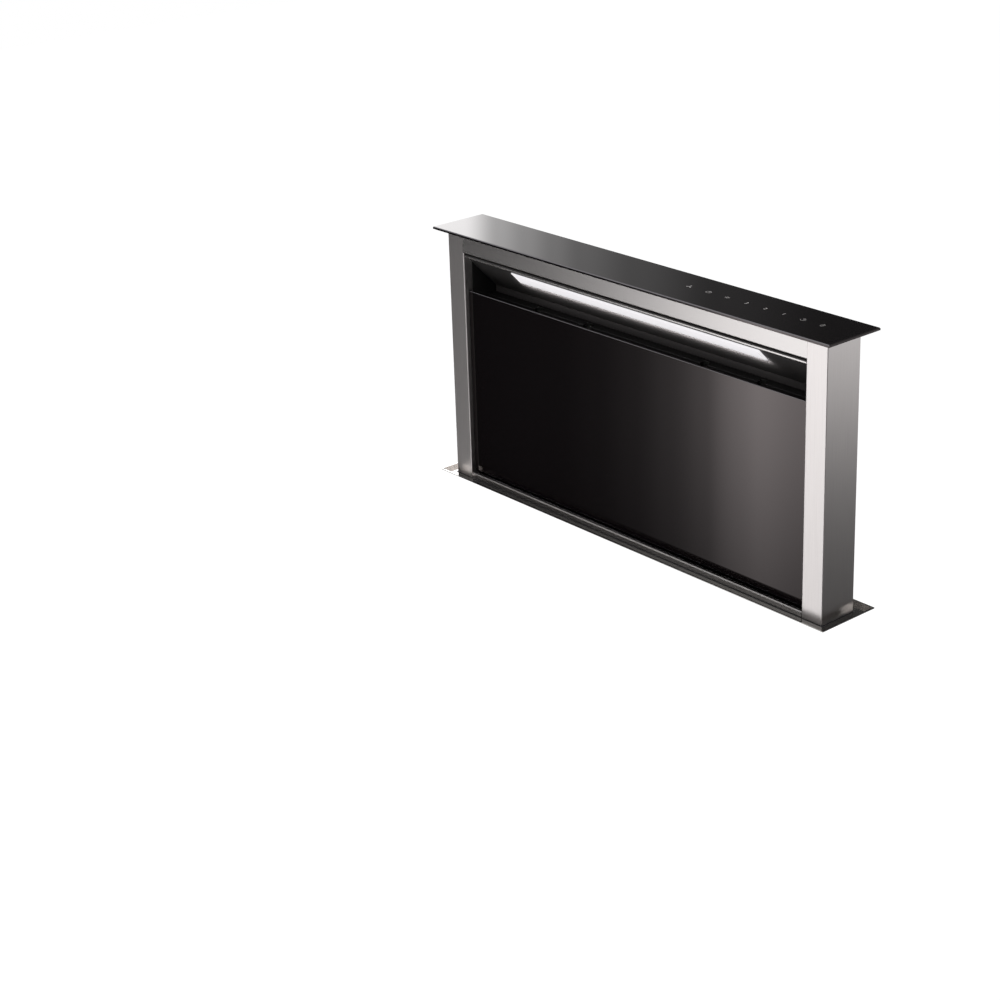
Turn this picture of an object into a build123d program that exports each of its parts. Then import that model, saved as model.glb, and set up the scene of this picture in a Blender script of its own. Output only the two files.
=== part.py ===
"""Downdraft vent: a column that rises out of the worktop behind a hob, with its housing, lift and blower below.

Millimetres, +X to the right, +Y to the back, +Z up. The origin lies on the cabinet floor, under the middle of
the whole vent. The vent is drawn raised, as it is while cooking.
"""
from math import atan2, cos, degrees, hypot, pi, radians, sin, sqrt
import os

from build123d import *

# ---------------------------------------------------------------------------------------------------------
# Driving dimensions
# ---------------------------------------------------------------------------------------------------------
# Where the vent stands
worktop_z = 700.0            # top face of the worktop above the cabinet floor
worktop_thickness = 38.0
foot_height = 45.0           # clear height under the housing

# Cap plate
cap_width = 880.0
cap_depth = 109.0
cap_thickness = 4.0
cap_bevel = 1.2
cap_overhang = 18.0          # cap's front edge to the column's front face

# Rising column
lift_travel = 440.0          # the cap rises this far above the tray's rim
column_width = 845.0
column_depth = 70.0
column_below = 126.0         # part of the raised column that stays below the rim
post_width = 40.0
post_return = 17.0           # inner edge of a post, seen beside the panel
back_return = 20.0
top_rail_height = 35.0
rail_return = 8.0
fascia_rise = 3.5            # top of the lower fascia above the tray's rim
fascia_return = 7.0

# Front panel
panel_height = 325.0
panel_glass = 4.0
panel_recess = 8.0           # column's front face to the glass
panel_side_gap = 1.5
panel_bottom_gap = 4.5
panel_frame_depth = 10.0
panel_frame_inset = 10.0     # frame's edge inside the glass's edge
pivot_radius = 2.5
pivot_rise = 6.0             # pivot above the glass's bottom edge
pivot_set_back = 12.0        # pivot behind the glass's front face

# Lamp plate at the top of the intake slot
lamp_slope = 46.0            # degrees below level, towards the back
lamp_drop = 7.6              # window's top edge to the top of the slope
lamp_lip = 3.2
lamp_set_back = 2.5
lamp_return = 6.0            # flat part behind the lip, before the slope
lamp_leg = 24.0              # lamp plate's rear leg, against the back sheet
lamp_flange = 26.0
lens_length = 556.0
lens_width = 31.0
lens_depth = 10.0
lens_wall = 2.0
lens_proud = 2.0             # lens's lit face below the plate
lens_along = 25.0            # top of the slope to the middle of the lens, along the slope
led_board_thickness = 1.6

# Grease filters
filter_thickness = 9.0
filter_border = 18.0
filter_lean = 5.0            # degrees that the top leans back
filter_top_z = 317.0         # above the tray's rim
filter_bottom_z = -5.0
filter_bottom_set_back = 31.0
mesh_thickness = 5.0
latch_thickness = 1.5
latch_length = 150.0
latch_height = 14.0
latch_travel = 4.0
tongue_spacing = 120.0
tongue_width = 12.0
tongue_rise = 5.0

# Trim tray in the worktop
rim_gap = 0.8                # cap's edge to the tray's wall
rim_lip = 1.2                # lip beyond the tray's wall
tray_depth = 6.0
mouth_gap = 2.0              # column to the tray's mouth
seal_gap = 0.4               # column to the wiper seal
seal_flange = 4.0
seal_drop = 3.0
seal_clearance = 3.0         # seal to the guide rails below it
gasket_width = 6.0
gasket_thickness = 1.6
gasket_inset = 3.0

# Housing
housing_inset = 2.5          # cap's edge to the housing's front and back faces
housing_side_inset = 2.0
housing_flange = 7.0
side_flange = 20.0
sheet = 1.2                  # stainless sheet
thin_sheet = 1.0             # galvanised sheet
bend = 1.5                   # outer radius of a bend

# Lift
screw_radius = 6.0
journal_radius = 4.0
screw_clearance = 0.05
carriage_height = 22.0
carriage_bar = 7.8
carriage_tie = 24.0
carriage_block = 45.0
nut_radius = 11.0
nut_flange_radius = 15.0
nut_flange = 4.0
screw_free_end = 8.0
drive_plate_top = 70.0
drive_plate_thickness = 3.0
bearing_block_size = 40.0
bearing_block_height = 22.0
pulley_radius = 12.0
motor_pulley_radius = 8.0
pulley_flange = 2.0
pulley_rim = 1.0
belt_width = 10.0
belt_thickness = 1.5
belt_gap = 0.3
belt_side_gap = 0.2
motor_offset = 60.0          # right lead screw to the motor's shaft
motor_set_back = 17.0
gearbox = (56.0, 48.0, 36.0)
lift_motor_radius = 16.0
lift_motor_length = 75.0
motor_shaft_radius = 3.0
rail_wall = 2.0
rail_inner_width = 26.2
shoe_width = 26.0
shoe_height = 40.0
shoe_inset = 2.0             # shoe to the end of its rail, or to the column's foot
shoe_gap = 0.2

# Blower
blower_box_size = (340.0, 185.0, 312.0)
blower_box_z = 150.0
fan_x = -15.0
fan_z = 330.0
fan_radius = 95.0
fan_eye_radius = 78.0
fan_width = 60.0
blade_count = 36
blade_thickness = 1.2
scroll_gap = 36.0            # housing to the scroll
scroll_width = 100.0
scroll_radii = (107.0, 120.0, 133.5, 147.0)   # to the right, up, left and down
tongue_radius = 103.0
outlet_top = 47.0            # outlet's upper wall below the fan's axis
inlet_radius = 80.0
throat_radius = 70.0
throat_gap = 0.4
fan_motor_radius = 46.0
fan_motor_length = 70.0
fan_motor_flange_radius = 65.0
fan_motor_flange = 3.0
fan_motor_inside = 26.0
fan_shaft_radius = 4.0
hub_radius = 14.0
hub_length = 16.0
spigot_radius = 74.5
spigot_wall = 2.0
spigot_length = 85.0
spigot_plate = 164.0
damper_offset = 20.0
damper_gap = 1.0
damper_thickness = 1.5
damper_pin_radius = 2.0
flange_width = 14.0

# Controls, feet and fasteners
control_size = (180.0, 60.0, 140.0)
control_x = 300.0
control_z = 480.0
control_wall = 1.5
control_screw_inset = 20.0
board_margin = 15.0
capacitor = (12.0, 26.0)     # radius and height
transformer = (44.0, 36.0, 24.0)
terminal_strip = (80.0, 12.0, 14.0)
board_thickness = 1.6
board_stand_off = 12.0
gland_bore = 4.2
gland_radius = 10.0
gland_length = 24.0
gland_x = 260.0
touch_board_size = (290.0, 34.0, 1.6)
touch_board_end = 0.5        # past the window's edge
touch_board_y = 4.5
foot_x = 350.0
foot_width = 40.0
foot_sheet = 2.0
foot_leg = 25.0
foot_reach = 150.0           # feet in front of the housing
foot_pad_radius = 20.0
foot_pad_height = 8.0
foot_stud_radius = 5.0
foot_boss_radius = 9.0
foot_boss_height = 12.0
foot_pad_inset = 24.0
screw_shank_radius = 2.0
screw_head_radius = 4.0
screw_head_height = 2.2
screw_length = 7.0
seam_end = 75.0              # outermost seam screw to the end of the housing
hole_clearance = 0.1
clamp_sheet = 3.0
clamp_width = 40.0
clamp_reach = 25.0
clamp_drop = 60.0
clamp_travel = 18.0
clamp_bolt_radius = 3.0
clamp_bolt_drop = 32.0
clamp_slot_clearance = 0.5
fit = 0.2                    # gap between pieces that meet edge to edge
magnet_size = (16.0, 8.0, 20.0)

# ---------------------------------------------------------------------------------------------------------
# Places worked out from them
# ---------------------------------------------------------------------------------------------------------
rim_margin = rim_gap + sheet + rim_lip
front_reach = blower_box_size[1] + thin_sheet + screw_head_height - housing_inset
rear_reach = cap_depth + rim_margin
cap_front = (front_reach - rear_reach) / 2
cap_y = cap_front + cap_depth / 2
column_front = cap_front + cap_overhang
column_back = column_front + column_depth
column_y = (column_front + column_back) / 2
column_half = column_width / 2
window_half = column_half - post_width
touch_board_x = window_half + touch_board_end - touch_board_size[0] / 2

rim_z = worktop_z + sheet
cap_top = rim_z + lift_travel
column_top = cap_top - cap_thickness
column_bottom = rim_z - column_below
window_top = column_top - top_rail_height
fascia_top = rim_z + fascia_rise
panel_bottom = fascia_top + panel_bottom_gap
panel_top = panel_bottom + panel_height
glass_front = column_front + panel_recess
frame_front = glass_front + panel_glass
frame_back = frame_front + panel_frame_depth
pivot_y = glass_front + pivot_set_back
pivot_z = panel_bottom + pivot_rise

tray_floor = rim_z - tray_depth
tray_underside = tray_floor - sheet
housing_front_y = cap_front + housing_inset
housing_back_y = cap_front + cap_depth - housing_inset
housing_half = cap_width / 2 - housing_side_inset
inner_front = housing_front_y + thin_sheet
inner_back = housing_back_y - thin_sheet
inner_half = housing_half - sheet

liner_x = window_half + sheet + hole_clearance
screw_x = column_half - post_width / 2
screw_top = column_bottom + carriage_height + screw_free_end
block_top = drive_plate_top + bearing_block_height
belt_z = drive_plate_top - drive_plate_thickness - 9.0
motor_x = screw_x - motor_offset
motor_y = column_y + motor_set_back
lift_lead = 8.0
pulley_half = belt_width / 2 + pulley_rim
guide_top = tray_underside - seal_drop - seal_clearance

blower_half = blower_box_size[0] / 2
blower_front = housing_front_y - blower_box_size[1]
blower_top = blower_box_z + blower_box_size[2]
scroll_back = housing_front_y - scroll_gap
scroll_front = scroll_back - scroll_width
scroll_y = (scroll_back + scroll_front) / 2
outlet_z = fan_z - (outlet_top + scroll_radii[3]) / 2
fan_back = scroll_back - sheet - 8.0
fan_front = fan_back - fan_width
damper_x = blower_half + sheet + damper_offset

board_width = control_size[0] - 2 * board_margin
board_height = control_size[2] - 2 * board_margin
clamp_z = worktop_z - worktop_thickness
clamp_bolt_z = clamp_z - clamp_bolt_drop


# ---------------------------------------------------------------------------------------------------------
# Shapes that repeat
# ---------------------------------------------------------------------------------------------------------
def folded_sheet(points, thickness, side=Side.LEFT):
    """Section of a folded sheet, drawn along its outer face."""
    with BuildSketch() as section:
        with BuildLine():
            FilletPolyline(*points, radius=bend)
            offset(amount=thickness, side=side)
        make_face()
    add(section.sketch)


def ring(outer_x, outer_y, inner_x, inner_y):
    """Rectangular ring from its half sizes."""
    Rectangle(2 * outer_x, 2 * outer_y)
    Rectangle(2 * inner_x, 2 * inner_y, mode=Mode.SUBTRACT)


def facing_front(y):
    """Plane square to Y at y, seen from the front: its own axes are X and Z and it looks towards -Y."""
    return Plane.XZ.offset(-y)


def mirrored(part):
    """The piece's twin on the other side of the vent."""
    return mirror(part, about=Plane.YZ, mode=Mode.PRIVATE)


def finish(name, *solids):
    """Labels a piece, or a group of like pieces, and writes it."""
    piece = solids[0] if len(solids) == 1 else Compound(children=list(solids))
    piece.label = name
    export_step(piece, f"parts/{name}.step")


os.makedirs("parts", exist_ok=True)

# ---------------------------------------------------------------------------------------------------------
# Cap: bevelled black glass on a steel carrier, with the touch board against its underside
# ---------------------------------------------------------------------------------------------------------
with BuildPart() as cap_glass:
    with BuildSketch(Plane.XY.offset(column_top)):
        with Locations((0, cap_y)):
            Rectangle(cap_width, cap_depth)
    extrude(amount=cap_thickness)
    chamfer(cap_glass.faces().sort_by(Axis.Z)[-1].edges(), cap_bevel)
finish("cap_glass", cap_glass.part)

with BuildPart() as cap_gasket:
    with BuildSketch(Plane.XY.offset(column_top - gasket_thickness)):
        with Locations((0, cap_y)):
            ring(
                cap_width / 2 - gasket_inset,
                cap_depth / 2 - gasket_inset,
                cap_width / 2 - gasket_inset - gasket_width,
                cap_depth / 2 - gasket_inset - gasket_width,
            )
    extrude(amount=gasket_thickness)
finish("cap_gasket", cap_gasket.part)

with BuildPart() as cap_carrier:
    with BuildSketch(Plane.YZ):
        folded_sheet(
            [
                (column_front + sheet, column_top - 12),
                (column_front + sheet, column_top),
                (column_back - sheet, column_top),
                (column_back - sheet, column_top - 12),
            ],
            sheet,
            Side.RIGHT,
        )
    extrude(amount=window_half - fit, both=True)
    with BuildSketch(Plane.XY.offset(column_top)):
        with Locations((touch_board_x, cap_y + touch_board_y)):
            Rectangle(touch_board_size[0] + 2, touch_board_size[1] + 2)
    extrude(amount=-2 * sheet, mode=Mode.SUBTRACT)
finish("cap_carrier", cap_carrier.part)

with BuildPart() as touch_board:
    with BuildSketch(Plane.XY.offset(column_top - fit)):
        with Locations((touch_board_x, cap_y + touch_board_y)):
            Rectangle(touch_board_size[0], touch_board_size[1])
    extrude(amount=-touch_board_size[2])
finish("touch_board", touch_board.part)

# ---------------------------------------------------------------------------------------------------------
# Column shell: two folded posts, a front rail, a lower fascia and a back sheet
# ---------------------------------------------------------------------------------------------------------
with BuildPart() as right_post:
    with BuildSketch(Plane.XY.offset(column_bottom)):
        folded_sheet(
            [
                (window_half, column_front + post_return),
                (window_half, column_front),
                (column_half, column_front),
                (column_half, column_back),
                (column_half - back_return, column_back),
            ],
            sheet,
        )
    extrude(amount=column_top - column_bottom)
    # the rail lies flush against the flat of the post, so the post's inner edge stops below it
    with BuildSketch(Plane.XY.offset(window_top - fit)):
        with Locations((window_half, column_front)):
            Rectangle(2 * bend, 2 * (post_return + bend))
    extrude(amount=column_top - window_top + fit, mode=Mode.SUBTRACT)
finish("right_post", right_post.part)
finish("left_post", mirrored(right_post.part))

with BuildPart() as top_rail:
    with BuildSketch(Plane.YZ):
        folded_sheet(
            [
                (column_front, column_top),
                (column_front, window_top),
                (column_front + rail_return, window_top),
            ],
            sheet,
        )
    extrude(amount=window_half + bend - fit, both=True)
finish("top_rail", top_rail.part)

with BuildPart() as lower_fascia:
    with BuildSketch(Plane.YZ):
        folded_sheet(
            [
                (column_front, column_bottom),
                (column_front, fascia_top),
                (column_front + fascia_return, fascia_top),
            ],
            sheet,
            Side.RIGHT,
        )
    extrude(amount=window_half - fit, both=True)
finish("lower_fascia", lower_fascia.part)

with BuildPart() as back_panel:
    with BuildSketch(facing_front(column_back)):
        with Locations((0, (column_bottom + column_top) / 2)):
            Rectangle(2 * (column_half - back_return - fit), column_top - column_bottom)
    extrude(amount=sheet)
finish("back_panel", back_panel.part)

with BuildPart() as right_liner:
    with BuildSketch(Plane.YZ.offset(liner_x)):
        with Locations((column_y, (column_bottom + carriage_height + column_top - fit) / 2)):
            Rectangle(column_depth - 2 * (sheet + hole_clearance), column_top - fit - column_bottom - carriage_height)
        with Locations((pivot_y, pivot_z)):
            Circle(pivot_radius + screw_clearance, mode=Mode.SUBTRACT)
    extrude(amount=thin_sheet)
finish("duct_liners", right_liner.part, mirrored(right_liner.part))

# ---------------------------------------------------------------------------------------------------------
# Lamp: a slanted plate that turns the air down behind the panel, with a long opal lens let into it
# ---------------------------------------------------------------------------------------------------------
slope = radians(lamp_slope)
lip_y = column_front + lamp_set_back
slope_top = (lip_y + lamp_return, window_top - lamp_drop)
slope_run = column_back - sheet - slope_top[0]
slope_foot = (column_back - sheet, slope_top[1] - slope_run * sin(slope) / cos(slope))
lens_plane = Plane(
    origin=(0, slope_top[0] + lens_along * cos(slope), slope_top[1] - lens_along * sin(slope)),
    x_dir=(1, 0, 0),
    z_dir=(0, sin(slope), cos(slope)),
)

with BuildPart() as lamp_housing:
    with BuildSketch(Plane.YZ):
        with BuildLine():
            FilletPolyline(
                (lip_y + rail_return, slope_top[1] + lamp_lip + lamp_flange),
                (lip_y + rail_return, slope_top[1] + lamp_lip),
                (lip_y, slope_top[1] + lamp_lip),
                (lip_y, slope_top[1]),
                slope_top,
                slope_foot,
                (slope_foot[0], slope_foot[1] - lamp_leg),
                radius=thin_sheet,
            )
            offset(amount=thin_sheet, side=Side.RIGHT)
        make_face()
    extrude(amount=window_half - fit, both=True)
    with BuildSketch(lens_plane):
        Rectangle(lens_length, lens_width)
    extrude(amount=2 * thin_sheet, both=True, mode=Mode.SUBTRACT)
finish("lamp_housing", lamp_housing.part)

with BuildPart() as light_lens:
    with BuildSketch(lens_plane.offset(-lens_proud)):
        Rectangle(lens_length - 2 * fit, lens_width - 2 * fit)
    extrude(amount=lens_proud + lens_depth)
    with BuildSketch(lens_plane.offset(lens_wall)):
        Rectangle(lens_length - 2 * fit, lens_width - 2 * fit - 2 * lens_wall)
    extrude(amount=lens_depth, mode=Mode.SUBTRACT)
finish("light_lens", light_lens.part)

with BuildPart() as led_board:
    with BuildSketch(lens_plane.offset(lens_depth)):
        Rectangle(lens_length - 2 * fit, lens_width - 2 * fit)
    extrude(amount=led_board_thickness)
finish("led_board", led_board.part)

# ---------------------------------------------------------------------------------------------------------
# Grease filters: two framed meshes side by side, leaning back, in a rail above and below
# ---------------------------------------------------------------------------------------------------------
lean = radians(filter_lean)
filter_length = (filter_top_z - filter_bottom_z) / cos(lean)
filter_width = liner_x - 2 * fit
filter_x = liner_x / 2
filter_plane = Plane(
    origin=(
        0,
        column_front + filter_bottom_set_back + filter_length / 2 * sin(lean),
        rim_z + (filter_bottom_z + filter_top_z) / 2,
    ),
    x_dir=(1, 0, 0),
    z_dir=(0, -cos(lean), sin(lean)),
)
filter_top_back = column_front + filter_bottom_set_back + filter_length * sin(lean) + filter_thickness
top_web = rim_z + filter_top_z + 1.5
latch_low = filter_length / 2 - latch_height
tongue_xs = [side * filter_x + end * tongue_spacing / 2 for side in (-1, 1) for end in (-1, 1)]

with BuildPart() as top_filter_rail:
    with BuildSketch(Plane.YZ):
        folded_sheet(
            [
                (filter_top_back - 2 * filter_thickness - 2, top_web - 8),
                (filter_top_back - 2 * filter_thickness - 2, top_web + sheet),
                (slope_foot[0] - thin_sheet, top_web + sheet),
                (slope_foot[0] - thin_sheet, top_web - 16),
            ],
            sheet,
            Side.RIGHT,
        )
    extrude(amount=window_half - fit, both=True)
    with BuildSketch(Plane.XY.offset(top_web)):
        with Locations(*[(x, filter_top_back - 2 * filter_thickness + 1) for x in tongue_xs]):
            Rectangle(tongue_width + 4, 10)
    extrude(amount=6, both=True, mode=Mode.SUBTRACT)
with BuildPart() as bottom_filter_rail:
    with BuildSketch(Plane.YZ):
        folded_sheet(
            [
                (column_front + sheet, rim_z + filter_bottom_z - 14),
                (column_front + sheet, rim_z + filter_bottom_z - 2),
                (column_front + filter_bottom_set_back + filter_thickness, rim_z + filter_bottom_z - 2),
                (column_front + filter_bottom_set_back + filter_thickness, rim_z + filter_bottom_z + 12),
            ],
            sheet,
            Side.RIGHT,
        )
    extrude(amount=window_half - fit, both=True)
finish("filter_rails", top_filter_rail.part, bottom_filter_rail.part)

with BuildPart() as right_filter:
    with BuildSketch(filter_plane):
        with Locations((filter_x, 0)):
            ring(
                filter_width / 2,
                filter_length / 2,
                filter_width / 2 - filter_border,
                filter_length / 2 - filter_border,
            )
    extrude(amount=filter_thickness / 2, both=True)
finish("filter_frames", right_filter.part, mirrored(right_filter.part))

with BuildPart() as right_mesh:
    with BuildSketch(filter_plane):
        with Locations((filter_x, 0)):
            Rectangle(filter_width - 2 * filter_border, filter_length - 2 * filter_border)
    extrude(amount=mesh_thickness / 2, both=True)
finish("filter_meshes", right_mesh.part, mirrored(right_mesh.part))

# Each filter is held by a sprung bar with two tongues that stand in slots of the rail above it.
with BuildPart() as latch_right:
    with BuildSketch(filter_plane.offset(filter_thickness / 2 + hole_clearance)):
        with Locations((filter_x, latch_low + latch_height / 2)):
            Rectangle(latch_length, latch_height)
        with Locations(*[(x, filter_length / 2 + tongue_rise / 2) for x in tongue_xs[2:]]):
            Rectangle(tongue_width, tongue_rise)
    extrude(amount=latch_thickness)
    with BuildSketch(filter_plane.offset(filter_thickness / 2 + hole_clearance + latch_thickness)):
        with Locations((filter_x, latch_low + 2)):
            Rectangle(latch_length / 3, 3)
    extrude(amount=4)
finish("latch_right", latch_right.part)
finish("latch_left", mirrored(latch_right.part))

# ---------------------------------------------------------------------------------------------------------
# Front panel: black glass on a steel tray that tilts forward on two pins at its bottom edge
# ---------------------------------------------------------------------------------------------------------
panel_half = window_half - panel_side_gap
frame_half = panel_half - panel_frame_inset
frame_bottom = panel_bottom + 2
frame_top = panel_top - panel_frame_inset

with BuildPart() as glass_panel:
    with BuildSketch(facing_front(frame_front)):
        with Locations((0, (panel_bottom + panel_top) / 2)):
            Rectangle(2 * panel_half, panel_height)
    extrude(amount=panel_glass)
    chamfer(glass_panel.faces().sort_by(Axis.Y)[0].edges(), 0.6)
finish("glass_panel", glass_panel.part)

with BuildPart() as panel_frame:
    with BuildSketch(facing_front(frame_back)):
        with Locations((0, (frame_bottom + frame_top) / 2)):
            Rectangle(2 * frame_half, frame_top - frame_bottom)
    extrude(amount=panel_frame_depth)
    with BuildSketch(facing_front(frame_back)):
        with Locations((0, (frame_bottom + frame_top) / 2)):
            Rectangle(2 * (frame_half - thin_sheet), frame_top - frame_bottom - 2 * thin_sheet)
    extrude(amount=panel_frame_depth - thin_sheet, mode=Mode.SUBTRACT)
    with BuildSketch(Plane.YZ.offset(-frame_half)):
        with Locations((pivot_y, pivot_z)):
            Circle(pivot_radius + screw_clearance)
    extrude(amount=2 * frame_half, mode=Mode.SUBTRACT)
finish("panel_frame", panel_frame.part)

with BuildPart() as right_pivot:
    with BuildSketch(Plane.YZ.offset(frame_half - 6)):
        with Locations((pivot_y, pivot_z)):
            Circle(pivot_radius)
    extrude(amount=liner_x + 5 - (frame_half - 6))
    with BuildSketch(Plane.YZ.offset(frame_half)):
        with Locations((pivot_y, pivot_z)):
            Circle(2 * pivot_radius - 0.6)
    extrude(amount=window_half - fit - frame_half)
finish("panel_pivots", right_pivot.part, mirrored(right_pivot.part))

with BuildPart() as right_magnet:
    with BuildSketch(Plane.XY.offset(frame_top - magnet_size[2] - 2)):
        with Locations((liner_x - hole_clearance - magnet_size[0] / 2, frame_back + 0.3 + magnet_size[1] / 2)):
            Rectangle(magnet_size[0], magnet_size[1])
    extrude(amount=magnet_size[2])
    fillet(right_magnet.edges().filter_by(Axis.Z), 1.5)
finish("catch_magnets", right_magnet.part, mirrored(right_magnet.part))

# ---------------------------------------------------------------------------------------------------------
# Foot of the column: a frame that the air passes, with the lead nuts and the slide shoes
# ---------------------------------------------------------------------------------------------------------
carriage_half = column_half - sheet
window_inner = carriage_half - carriage_block
carriage_depth = column_depth - 2 * sheet

with BuildPart() as carriage:
    with BuildSketch(Plane.XY.offset(column_bottom)):
        with Locations((0, column_y)):
            RectangleRounded(2 * carriage_half, carriage_depth, bend)
        for side in (-1, 1):
            with Locations((side * (window_inner + carriage_tie / 2) / 2, column_y)):
                Rectangle(
                    window_inner - carriage_tie / 2,
                    carriage_depth - 2 * carriage_bar,
                    mode=Mode.SUBTRACT,
                )
            with Locations((side * screw_x, column_y)):
                Circle(nut_radius + hole_clearance / 2, mode=Mode.SUBTRACT)
            # room for the post's inner edge
            with Locations((side * (window_half + sheet / 2), column_front + post_return / 2)):
                Rectangle(sheet + 4 * fit, post_return + 2 * fit, mode=Mode.SUBTRACT)
    extrude(amount=carriage_height)
finish("carriage", carriage.part)

with BuildPart() as right_nut:
    with BuildSketch(Plane.XY.offset(column_bottom - nut_flange)):
        with Locations((screw_x, column_y)):
            Circle(nut_flange_radius)
            Circle(screw_radius + screw_clearance, mode=Mode.SUBTRACT)
    extrude(amount=nut_flange)
    with BuildSketch(Plane.XY.offset(column_bottom)):
        with Locations((screw_x, column_y)):
            Circle(nut_radius)
            Circle(screw_radius + screw_clearance, mode=Mode.SUBTRACT)
    extrude(amount=carriage_height)
finish("lead_nuts", right_nut.part, mirrored(right_nut.part))

rail_base = inner_half - rail_wall
shoes = []
for shoe_z in (column_bottom + shoe_inset, guide_top - shoe_inset - shoe_height):
    with BuildPart() as shoe:
        with BuildSketch(Plane.XY.offset(shoe_z)):
            with Locations(((column_half + rail_base - shoe_gap) / 2, column_y)):
                Rectangle(rail_base - shoe_gap - column_half, shoe_width)
        extrude(amount=shoe_height)
        chamfer(shoe.faces().filter_by(Axis.Z).edges().filter_by(Axis.Y).group_by(Axis.X)[-1], 1.5)
    shoes += [shoe.part, mirrored(shoe.part)]
finish("slide_shoes", *shoes)

# ---------------------------------------------------------------------------------------------------------
# Trim tray in the worktop, with the wiper seal round the column
# ---------------------------------------------------------------------------------------------------------
wall_half_x = cap_width / 2 + rim_gap
wall_half_y = cap_depth / 2 + rim_gap
mouth_half_x = column_half + mouth_gap
mouth_half_y = column_depth / 2 + mouth_gap

with BuildPart() as trim_tray:
    with BuildSketch(Plane.XY.offset(tray_underside)):
        with Locations((0, cap_y)):
            Rectangle(2 * (wall_half_x + sheet), 2 * (wall_half_y + sheet))
    extrude(amount=rim_z - tray_underside)
    with BuildSketch(Plane.XY.offset(worktop_z)):
        with Locations((0, cap_y)):
            RectangleRounded(2 * (wall_half_x + sheet + rim_lip), 2 * (wall_half_y + sheet + rim_lip), 0.8)
    extrude(amount=sheet)
    with BuildSketch(Plane.XY.offset(tray_floor)):
        with Locations((0, cap_y)):
            Rectangle(2 * wall_half_x, 2 * wall_half_y)
    extrude(amount=tray_depth, mode=Mode.SUBTRACT)
    with BuildSketch(Plane.XY.offset(tray_underside)):
        with Locations((0, column_y)):
            Rectangle(2 * mouth_half_x, 2 * mouth_half_y)
    extrude(amount=sheet, mode=Mode.SUBTRACT)
finish("trim_tray", trim_tray.part)

with BuildPart() as mouth_seal:
    with BuildSketch(Plane.XY.offset(tray_underside - seal_drop)):
        with Locations((0, column_y)):
            ring(
                mouth_half_x + seal_flange,
                mouth_half_y + seal_flange,
                column_half + seal_gap,
                column_depth / 2 + seal_gap,
            )
    extrude(amount=seal_drop)
    with BuildSketch(Plane.XY.offset(tray_underside)):
        with Locations((0, column_y)):
            ring(
                mouth_half_x - hole_clearance,
                mouth_half_y - hole_clearance,
                column_half + seal_gap,
                column_depth / 2 + seal_gap,
            )
    extrude(amount=sheet + 0.3)
finish("mouth_seal", mouth_seal.part)

# ---------------------------------------------------------------------------------------------------------
# Housing: galvanised front and back sheets on two side channels, closed below
# ---------------------------------------------------------------------------------------------------------
blower_flange_half = blower_half + flange_width
blower_flange_mid = (blower_box_z + blower_top) / 2
blower_flange_half_z = (blower_top - blower_box_z) / 2 + flange_width
flange_screws = [
    (x, blower_flange_mid + side * (blower_flange_half_z - flange_width / 2))
    for x in (-blower_half * 0.8, 0, blower_half * 0.8)
    for side in (-1, 1)
] + [
    (side * (blower_flange_half - flange_width / 2), blower_flange_mid + z)
    for side in (-1, 1)
    for z in (-blower_box_size[2] / 4, blower_box_size[2] / 4)
]
seam_pitch = (tray_underside - foot_height - 2 * seam_end) / 3
seam_screws = [
    (side * (housing_half - side_flange / 2), foot_height + seam_end + step * seam_pitch)
    for side in (-1, 1)
    for step in range(4)
]
control_half = control_size[0] / 2
control_screws = [
    (control_x + x, control_z + z)
    for x in (-control_half - flange_width / 2, control_half + flange_width / 2)
    for z in (control_screw_inset, control_size[2] - control_screw_inset)
]
hole_radius = screw_shank_radius + hole_clearance


def face_sheet(y, hole_spots, inlets=()):
    """Front or back sheet of the housing, with its screw holes and air inlets; y is its outer face."""
    inward = 1 if y < cap_y else -1
    with BuildPart() as part:
        with BuildSketch(Plane.YZ):
            folded_sheet(
                [
                    (y, foot_height),
                    (y, tray_underside),
                    (y + inward * housing_flange, tray_underside),
                ],
                thin_sheet,
                Side.RIGHT if inward > 0 else Side.LEFT,
            )
        extrude(amount=housing_half, both=True)
        with BuildSketch(facing_front(y)):
            with Locations(*hole_spots):
                Circle(hole_radius)
            for spot in inlets:
                with Locations(spot):
                    Circle(inlet_radius)
        extrude(amount=2 * thin_sheet, both=True, mode=Mode.SUBTRACT)
    return part.part


front_holes = flange_screws + seam_screws + control_screws
finish("housing_front", face_sheet(housing_front_y, front_holes, [(fan_x, fan_z)]))
finish("housing_back", face_sheet(housing_back_y, seam_screws))

with BuildPart() as right_side:
    with BuildSketch(Plane.XY.offset(foot_height)):
        folded_sheet(
            [
                (housing_half - side_flange, inner_front),
                (housing_half, inner_front),
                (housing_half, inner_back),
                (housing_half - side_flange, inner_back),
            ],
            sheet,
        )
    extrude(amount=tray_underside - bend - foot_height)
    with BuildSketch(facing_front(inner_back)):
        with Locations(*[spot for spot in seam_screws if spot[0] > 0]):
            Circle(hole_radius)
    extrude(amount=inner_back - inner_front, mode=Mode.SUBTRACT)
    with BuildSketch(Plane.YZ.offset(housing_half)):
        with Locations((column_y, clamp_bolt_z)):
            Circle(clamp_bolt_radius + hole_clearance)
    extrude(amount=-2 * sheet, mode=Mode.SUBTRACT)
finish("housing_sides", right_side.part, mirrored(right_side.part))

with BuildPart() as housing_floor:
    with BuildSketch(Plane.XY.offset(foot_height)):
        with Locations((0, (inner_front + inner_back) / 2)):
            RectangleRounded(2 * inner_half, inner_back - inner_front - 2 * (sheet + hole_clearance), bend)
    extrude(amount=thin_sheet)
finish("housing_floor", housing_floor.part)

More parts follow.
